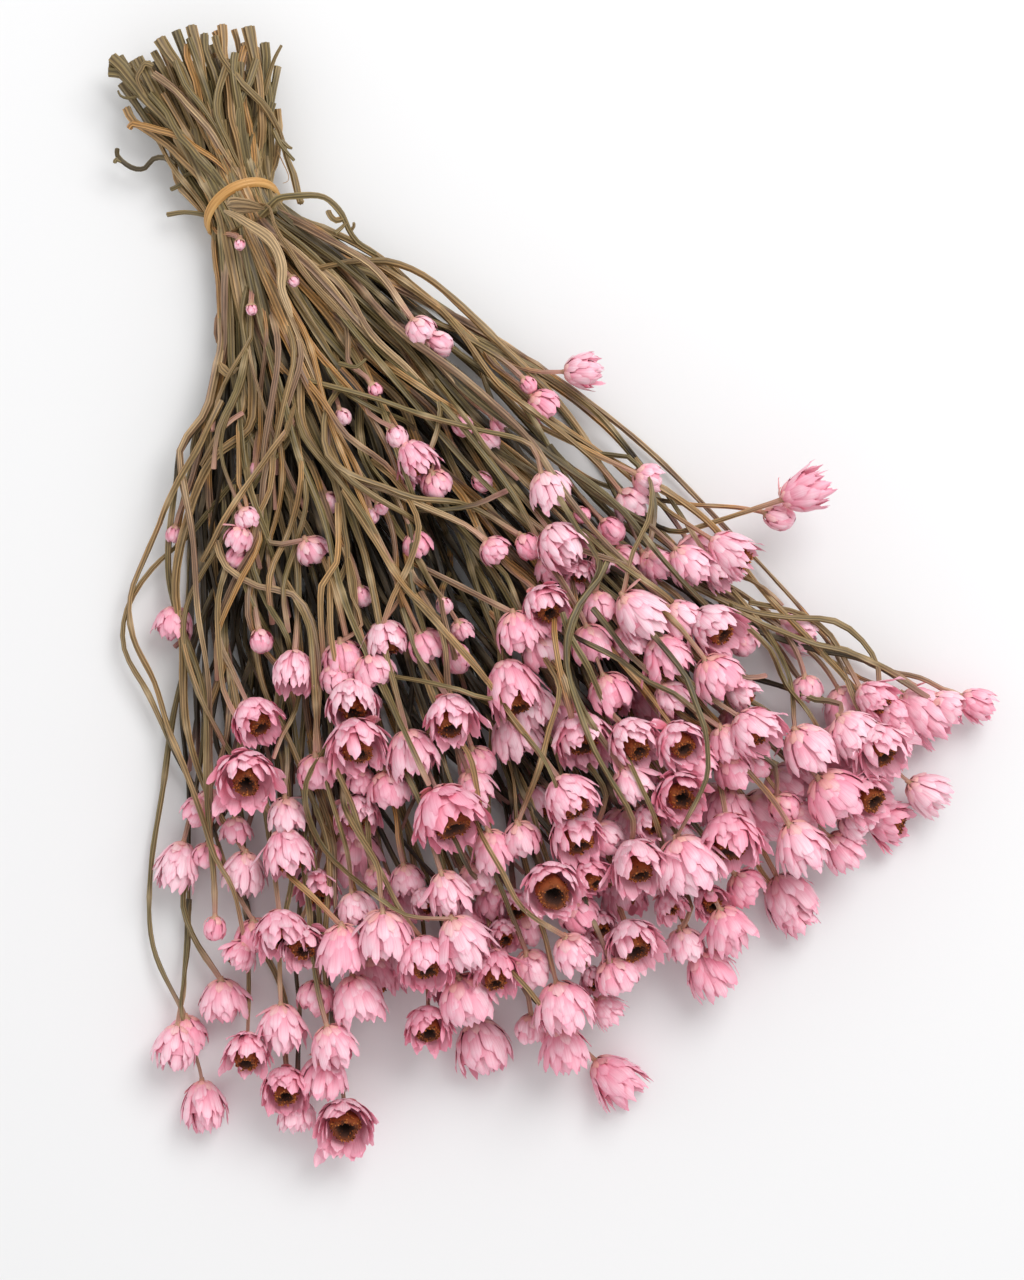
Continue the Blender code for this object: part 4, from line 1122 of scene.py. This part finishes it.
# How high the heads stand along a route, without its own head.
def headsBelow(route, own):
    top = np.zeros(len(route))
    for flower in flowers:
        reach = flower["radius"] + 1.0
        aside = np.linalg.norm(route[:, :2] - flower["middle"][:2], axis=1)
        under = flower["middle"][2] + np.sqrt(np.clip(reach ** 2 - aside ** 2, 0, None))
        if flower is not own:
            top = np.maximum(top, np.where(aside < reach, under, 0))
    return top


for radius, tone, points, flower in crossings:
    places = [np.array([*(tie[:2] + point), 0.0]) for point in points]
    if flower:
        places[-1] = flower["base"] * (1, 1, 0)
    route = throughPoints(places, 3.0)
    stemTop = np.array([topOf(place) for place in route]) + radius * crossingLook["over"]
    top = np.maximum(stemTop, headsBelow(route, flower))
    top = np.array([top[max(0, i - 2):i + 3].max() for i in range(len(top))])
    first = stemTop[0] - crossingLook["sunkStart"]
    last = flower["base"][2] if flower else top[-1] - crossingLook["sunkEnd"]
    fromStart = np.clip(np.arange(len(route)) / 4, 0, 1) ** 0.7
    top = last + (top - last) * fromStart[::-1]
    top = first + (top - first) * fromStart
    route[:, 2] = np.convolve(np.pad(top, 2, "edge"), (0.1, 0.2, 0.4, 0.2, 0.1), "valid")
    route[-1, 2] = last
    addStem(route=route, load=busy, cut=False, ribs=5, radius=radius, tone=tone)

# Every head without a stem of its own sits on a branch, which leaves the stem that lies
# best for it and has the fewest branches yet. A head of the solids stays on its own stem.
branchLook = {"forkAt": (0.45, 0.85), "crowded": 9.0, "wrongStem": 900, "sway": 2.4, "wave": 60.0,
              "radius": (1.15, 0.8), "ribs": 5}


def bestStem(flower, fork, onLine):
    best = None
    for stem in mainStems:
        route = stem["route"]
        if route[-1, 1] > fork - 12 or route[0, 1] < fork + 10:
            continue
        index = int(np.argmin(np.abs(route[:, 1] - fork)))
        cost = np.linalg.norm(route[index] - onLine) + branchLook["crowded"] * stem["load"]
        if flower["name"] and flower["stem"] != stem["name"]:
            cost += branchLook["wrongStem"]
        if best is None or cost < best[0]:
            best = (cost, stem, index)
    return best[1:]


branches = []
for flower in flowers:
    if flower["stem"] in ("own", "loop") or (flower["name"] and not flower["name"].startswith("side_")):
        continue
    base = flower["base"]
    reach = tie[1] - base[1]
    fork = tie[1] - reach * luck.uniform(*branchLook["forkAt"])
    stem, index = bestStem(flower, fork, tie + (base - tie) * (tie[1] - fork) / reach)
    stem["load"] += 1
    start = stem["route"][index]
    along = unit(stem["route"][index + 1] - stem["route"][index - 1])
    span = np.linalg.norm(base - start)
    aim = flower["axis"] * span * luck.uniform(0.5, 1.1)
    route = curve(start, along * span * 1.1, base, aim, max(8, int(span / 3.5)))
    route = sway(smoothRoute(route, 3.5), branchLook["sway"], (0.04, 0.88), branchLook["wave"])
    raiseOverTable(route, 1.1)
    branches.append({"route": route, "parent": stem})
print("stems:", len(mainStems), "branches:", len(branches))


# Painted shade: the deeper a stem lies under others, the darker its colour is made, standing in for the
# shade there. The tallest stem in each cell is the measure.
shadeLook = {"cell": 4.0, "from": 2.5, "full": 11.0, "tone": 0.75}
tops = {}
for stem in mainStems:
    for x, y, z in stem["route"]:
        cell = round(x / shadeLook["cell"]), round(y / shadeLook["cell"])
        tops[cell] = max(tops.get(cell, 0.0), z)


def paintedShadeTone(route):
    cells = np.round(route[:, :2] / shadeLook["cell"]).astype(int)
    below = np.array([tops.get(tuple(cell), 0.0) for cell in cells]) - route[:, 2]
    below = np.convolve(np.pad(below, 2, "edge"), np.full(5, 0.2), "valid")
    return shadeLook["tone"] * np.clip((below - shadeLook["from"]) / shadeLook["full"], 0, 1)


# A main stem tapers from its cut end to its flower, and flares a little where it was cut.
# Near the tie it is no thicker than the room there.
mainLook = {"radius": (1.5, 2.05), "flowerRadius": 0.85, "tone": (0.08, 1), "behind": 60.0,
            "tieRadius": 1.5, "roomPerReach": 0.012, "cutRadius": 0.78, "flare": 0.15,
            "flareLength": 2.5, "ribs": 6}


def growMain(heap, stem):
    route, look = stem["route"], mainLook
    reach = tie[1] - route[:, 1]
    share = np.clip((reach + look["behind"]) / (look["behind"] + reach[-1]), 0, 1)
    thick = stem.get("radius", luck.uniform(*look["radius"]))
    stem["tone"] = stem.get("tone", luck.uniform(*look["tone"]))
    radii = thick + (look["flowerRadius"] - thick) * share ** 0.9
    radii = np.minimum(radii, look["tieRadius"] + look["roomPerReach"] * np.abs(reach))
    cut = stem.get("cut", True)
    if cut:
        flare = look["flare"] * np.exp((reach[0] - reach) / look["flareLength"])
        radii = radii * np.interp(reach, (-look["behind"], 0), (look["cutRadius"], 1.0)) * (1 + flare)
    # Darker where it lies under other stems: painted shade.
    tone = stem["tone"] - paintedShadeTone(route)
    raiseOverTable(route, 1.25 * radii)
    growStem(heap, route, radii, stem.get("ribs", look["ribs"]), tone, cut=cut)


def growBranch(heap, branch):
    route = branch["route"]
    # Darker where it lies under other stems: painted shade.
    tone = float(np.clip(branch["parent"]["tone"] + luck.normal(0, 0.12), 0, 1)) - paintedShadeTone(route)
    radii = np.linspace(*branchLook["radius"], len(route))
    growStem(heap, route, radii, branchLook["ribs"], tone, cut=False)


def makeStems(name, grow, rows, instead=None):
    makePiece(name, [stemPaint], grow, rows, instead)


for stem in mainStems:
    if stem["name"]:
        makeStems("dry_" + stem["name"], growMain, [stem], stem["name"])
loose = [stem for stem in mainStems if not stem["name"]]
for label, grow, rows in ("more_stems", growMain, loose), ("branches", growBranch, branches):
    for group in range(6):
        makeStems(f"{label}_{group + 1}", grow, rows[group::6])

# The stems that show on top of the cut end, and the broken twigs there and at the tie:
# radius at both ends, tone, and points in millimetres across, back and up from the tie.
topStems = (
    (2.0, 1.3, 0.3, ((-22, 65, 17), (-18, 62, 17), (-16, 55, 18), (-10, 36, 19), (-5, 16, 21),
     (-4, 5, 22))),
    (2.1, 1.4, 0.3, ((-19, 68, 19), (-17, 63, 20), (-15, 53, 20), (-8, 30, 22), (-2, 7, 24))),
    (2.0, 1.3, 0.42, ((-1, 65, 28), (0, 59, 28), (1, 52, 28), (1, 42, 27), (2, 31, 26), (1, 7, 24.5))),
    (1.6, 1.2, 0.68, ((7, 59, 27), (5, 55, 28), (4, 46, 28), (2, 36, 27), (1, 9, 25))),
    (1.8, 1.2, 0.44, ((11, 65, 25), (10, 60, 26), (9, 53, 27), (5, 37, 28), (3, 8, 25))),
    (1.6, 1.1, 0.3, ((14, 61, 22), (12, 55, 24), (11, 47, 25), (5, 23, 25), (4, 8, 24))),
    (1.3, 1.1, 0.4, ((17, 58, 25), (16, 52, 27), (16, 46, 29), (19, 38, 29), (23, 30, 27),
     (23, 20, 23), (22, 12, 20))),
    (1.4, 1.1, 0.58, ((21, 61, 24), (19, 56, 25), (17, 50, 26), (16, 43, 27), (8, 21, 26), (5, 7, 24))),
    (1.9, 1.2, 0.5, ((29, 57, 22), (28, 52, 22), (26, 44, 22), (20, 26, 22), (8, 5, 22))),
    (1.6, 1.1, 0.7, ((25, 51, 20), (22, 47, 22), (19, 41, 23), (13, 19, 24), (7, 5, 23))),
    (1.7, 1.1, 0.3, ((32, 50, 19), (30, 45, 19), (27, 40, 19), (22, 21, 19), (11, 3, 20))),
    (1.5, 1.3, 0.92, ((-8, 55, 26), (-5, 49, 27), (-1, 39, 28), (1, 29, 28), (3, 18, 27), (4, 7, 25))),
    (1.5, 1.2, 0.5, ((-22, 51, 13), (-22, 45, 14), (-18, 38, 16), (-10, 23, 18), (-6, 5, 21))),
    (1.2, 1.1, 0.7, ((-24, 43, 18), (-22, 43.5, 19), (-15, 37, 21), (-7, 29, 23), (2, 10, 24.5))),
    (1.2, 1.1, 0.2, ((21, 49, 29), (18, 44, 30), (15, 35, 29), (10, 17, 27), (7, 6, 24))),
    (1.3, 1.1, 0.32, ((1, 55, 30), (1, 46, 30), (3, 34, 29), (4, 8, 25.5))),
    (1.2, 1.1, 0.25, ((-12, 50, 22), (-9, 41, 24), (-9, 31, 24), (-2, 6, 24))),
    (1.2, 1.0, 0.35, ((18, 48, 27), (12, 41, 30), (6, 32, 30), (5, 19, 28), (6, 7, 25))),
    (1.1, 1.0, 0.28, ((27, 45, 23), (21, 38, 26), (14, 32, 27), (9, 20, 26), (7, 6, 24))),
)
brokenTwigs = (
    (1.0, 0.8, 0.12, ((-15, 25, 15), (-17, 29, 14), (-21, 30.5, 13), (-25, 29, 12), (-28, 30, 12),
     (-30.5, 33, 12), (-32, 37, 13), (-31, 39, 14))),
    (0.8, 0.7, 0.12, ((-31, 34, 12), (-33, 36, 13), (-34, 35, 13))),
    (0.9, 0.7, 0.2, ((-7, 14, 18), (-10, 19, 16), (-13, 20, 15), (-16, 18, 14), (-20, 18, 13))),
    (0.9, 0.8, 0.32, ((-9, 1, 12), (-13, 5, 12), (-19, 9, 11), (-25, 11, 10))),
    (0.6, 0.4, 0.25, ((-16, 52, 18), (-20, 53, 17), (-22, 55, 17), (-22, 57, 17))),
    (0.8, 0.9, 0.3, ((-7, 58, 25), (-9, 60, 25), (-11, 59, 24), (-14, 57, 22), (-14, 50, 20))),
    (0.9, 0.5, 0.35, ((24, 33, 20), (29, 39, 21), (33, 43, 22), (37, 46, 22))),
    (0.9, 0.6, 0.3, ((22, 20, 21), (22, 15, 20), (23, 11, 19), (24, 8, 18))),
    (0.7, 0.4, 0.3, ((23, 16, 20), (24, 13, 20), (25, 12, 19))),
    (0.25, 0.12, 0.6, ((20, 14, 16), (20, 9, 16), (20, 5, 15), (19, 3, 14), (17, 3, 14))),
    (1.3, 0.9, 0.3, ((5, -6, 26), (9, -5, 28), (13, -4, 30), (19, -6, 31), (26, -9, 30),
     (29, -12, 28), (31, -18, 26), (31, -23, 23), (32, -28, 20), (36, -34, 17))),
    (0.9, 1.0, 0.42, ((31, -19, 25), (28, -19, 27), (27, -17, 28), (27, -15, 28))),
    (0.8, 0.5, 0.3, ((26, -23, 27), (29, -22, 26), (31, -21, 25))),
    (0.7, 0.5, 0.3, ((31, -24, 22), (33, -23, 23), (33.5, -22, 24))),
    (0.8, 0.5, 0.3, ((8, -66, 34), (13, -70, 37), (17, -69, 38))),
    (0.8, 0.4, 0.2, ((-30, -74, 18), (-36, -76, 18), (-40, -73, 17))),
)


def fromTie(points, spacing):
    return throughPoints(tie + np.array(points, float), spacing)


def growTopStem(heap, row):
    thick, thin, tone, points = row
    intoTie = (points[-1][0] * 0.9, -6, 21)
    route = sway(fromTie((*points, intoTie), 2.6), 0.5, wave=22)
    keepUnderBand(route, 1.3)
    radii = thin + (thick - thin) * np.exp(-np.arange(len(route)) / 4)
    growStem(heap, route, radii, 6, tone, joints=False, colored=False)


def growTwig(heap, row):
    thick, thin, tone, points = row
    route = fromTie(points, 1.6)
    radii = np.linspace(thick, thin, len(route))
    growStem(heap, route, radii, 5, tone, colored=False, cut=False, joints=False)


makeStems("cut_ends", growTopStem, topStems)
makeStems("broken_twigs", growTwig, brokenTwigs)

# Withered leaves, as flat ribbons: half width, thickness share, tone, points as above.
witheredLeaves = (
    (4.0, 0.14, 1.2, ((-4, 2, 24.5), (0, 0, 27), (3, -2, 28.5), (7, -5, 28))),
    (2.0, 0.3, 1.2, ((6, -2, 26), (9, -6, 29), (8, -11, 30.5), (8, -16, 31), (9, -22, 31),
     (10, -30, 31), (12, -38, 31), (17, -53, 31))),
    (1.6, 0.35, 1.15, ((-6, 1, 25), (-3, -3, 28), (0, -8, 30), (4, -15, 31), (5, -21, 31.5),
     (4, -27, 31.5), (1, -33, 31), (0, -44, 31))),
    (1.4, 0.12, 0.85, ((-21, -28, 14), (-25, -33, 13), (-27, -38, 12), (-25, -43, 13))),
    (1.6, 0.15, 0.5, ((-21, -82, 32), (-18, -79, 33), (-12, -72, 33))),
    (1.6, 0.15, 0.5, ((-30, -46, 20), (-29, -51, 22), (-24, -51, 23))),
)


def growLeaf(heap, row):
    half, thinness, tone, points = row
    route = fromTie(points, 1.4)
    outline = 1 - 0.75 * np.linspace(-1, 1, len(route)) ** 4
    radii = half * outline * luck.uniform(0.88, 1.0, len(route))
    growStem(heap, route, radii, 8, tone, colored=False, cut=False, flat=thinness, joints=False)


makeStems("withered_leaves", growLeaf, witheredLeaves)
print("stems grown")

flowerPaints = [petalPaint, discPaint, stemPaint]
for flower in flowers:
    name = flower["name"]
    if name:
        if flower["mood"] == "bell" and luck.uniform() < 0.5:
            flower["mood"] = "half"
        makePiece("bracts_of_" + name, flowerPaints, growFlower, [flower], name)
others.sort(key=lambda flower: swingOf(flower["middle"]))
groupSize = 8        # neighbouring flowers that make one piece
for number, first in enumerate(range(0, len(others), groupSize), 1):
    near = others[first:first + groupSize]
    makePiece(f"more_flowers_{number:02d}", flowerPaints, growFlower, near)
print("flowers grown")


# The rubber band: grooved strands side by side round the tie, leaning back.
bandLook = {"strands": 3, "width": 3.2, "thick": 1.2, "steps": 84, "leanAbove": 0.72,
            "leanBelow": 0.3, "skew": 0.8}


# Points across the band: out over its strands, then back flat along the inside.
def bandSection():
    width, thick, strands = bandLook["width"], bandLook["thick"], bandLook["strands"]
    section = []
    for side in (1, -1):
        for index in range(strands):
            for part in (0.125, 0.375, 0.625, 0.875):
                along = (index + part) * width / strands - width / 2
                out = thick * (0.5 + 0.5 * math.sin(math.pi * part))
                section.append((along * side, out if side > 0 else 0.0))
    return np.array(section)


def growBand(heap, look):
    along, out = bandSection().T
    steps, sides = look["steps"], len(along)
    points, fibres = [], []
    for step in range(steps):
        a = fullTurn * step / steps
        upper = a < math.pi
        x, z = np.cos(a) * (tieHalfWidth + out), np.sin(a) * (tieHalfHeight + out)
        y = along + z * look["leanAbove" if upper else "leanBelow"]
        y = y + (look["skew"] * math.cos(a) if upper else 0)
        points.append(np.stack([tie[0] + x, tie[1] + y, np.maximum(tieMiddle + z, bandLow[2])], 1))
        fibres.append(np.stack([along, np.full(sides, a * tieHalfWidth), np.zeros(sides)], 1))
    joined = [[corner % (steps * sides) for corner in quad] for quad in latheFaces(steps + 1, sides)]
    addShape(heap, np.concatenate(points), [joined], np.ones((steps * sides, 4)), np.concatenate(fibres))


makePiece("grooved_rubber_band", [rubberPaint], growBand, [bandLook], "rubber_band")
print("band made")


# The table, the light and the camera.
view = {"lens": 96.4, "distance": 1.2, "elevation": 88.0, "aim": (21.9, -178.2, 22.0),
        "right": (0.906, -0.423, 0), "up": (0.423, 0.906, 0)}
studio = {"table": (0.86, 0.86, 0.865), "tableRoughness": 0.85, "sheen": 0.15, "sky": 0.75,
          "window": (0.55, 0.75, 1.3), "windowSize": 0.9, "windowPower": 14.0}
right, up, above = Vector(view["right"]), Vector(view["up"]), Vector((0, 0, 1))
middle = (Vector(tie) + Vector(view["aim"])) * mm


def makeTable():
    bpy.ops.mesh.primitive_plane_add(size=6.0, location=(0, 0, cadBox[0][2]))
    table = bpy.context.object
    table.name = "pale_table"
    paint, tree, shader = newPaint("pale table", studio["tableRoughness"])
    shader.inputs["Base Color"].default_value = (*studio["table"], 1)
    shader.inputs["Specular IOR Level"].default_value = studio["sheen"]
    table.data.materials.append(paint)


def lightTable():
    world = bpy.data.worlds.new("studio")
    bpy.context.scene.world = world
    world.use_nodes = True
    sky = world.node_tree.nodes["Background"]
    sky.inputs[0].default_value = (1, 1, 1, 1)
    sky.inputs[1].default_value = studio["sky"]
    light = bpy.data.lights.new("window", "AREA")
    light.shape = "SQUARE"
    light.size = studio["windowSize"]
    light.energy = studio["windowPower"]
    window = bpy.data.objects.new("window", light)
    bpy.context.scene.collection.objects.link(window)
    aside, upwards, height = studio["window"]
    window.location = middle + right * aside + up * upwards + above * height
    target = Vector(tie * mm) + Vector((0, -0.15, 0))
    window.rotation_euler = (window.location - target).to_track_quat("Z", "Y").to_euler()


def placeCamera():
    camera = bpy.data.objects.new("camera", bpy.data.cameras.new("camera"))
    bpy.context.scene.collection.objects.link(camera)
    camera.data.lens = view["lens"]
    tilt = math.radians(view["elevation"])
    back = (-up * math.cos(tilt) + above * math.sin(tilt)).normalized()
    place = middle + back * view["distance"]
    turned = Matrix((right, back.cross(right).normalized(), back)).transposed()
    camera.matrix_world = Matrix.Translation(place) @ turned.to_4x4()
    bpy.context.scene.camera = camera


makeTable()
lightTable()
placeCamera()
bpy.context.scene.view_settings.view_transform = "Standard"
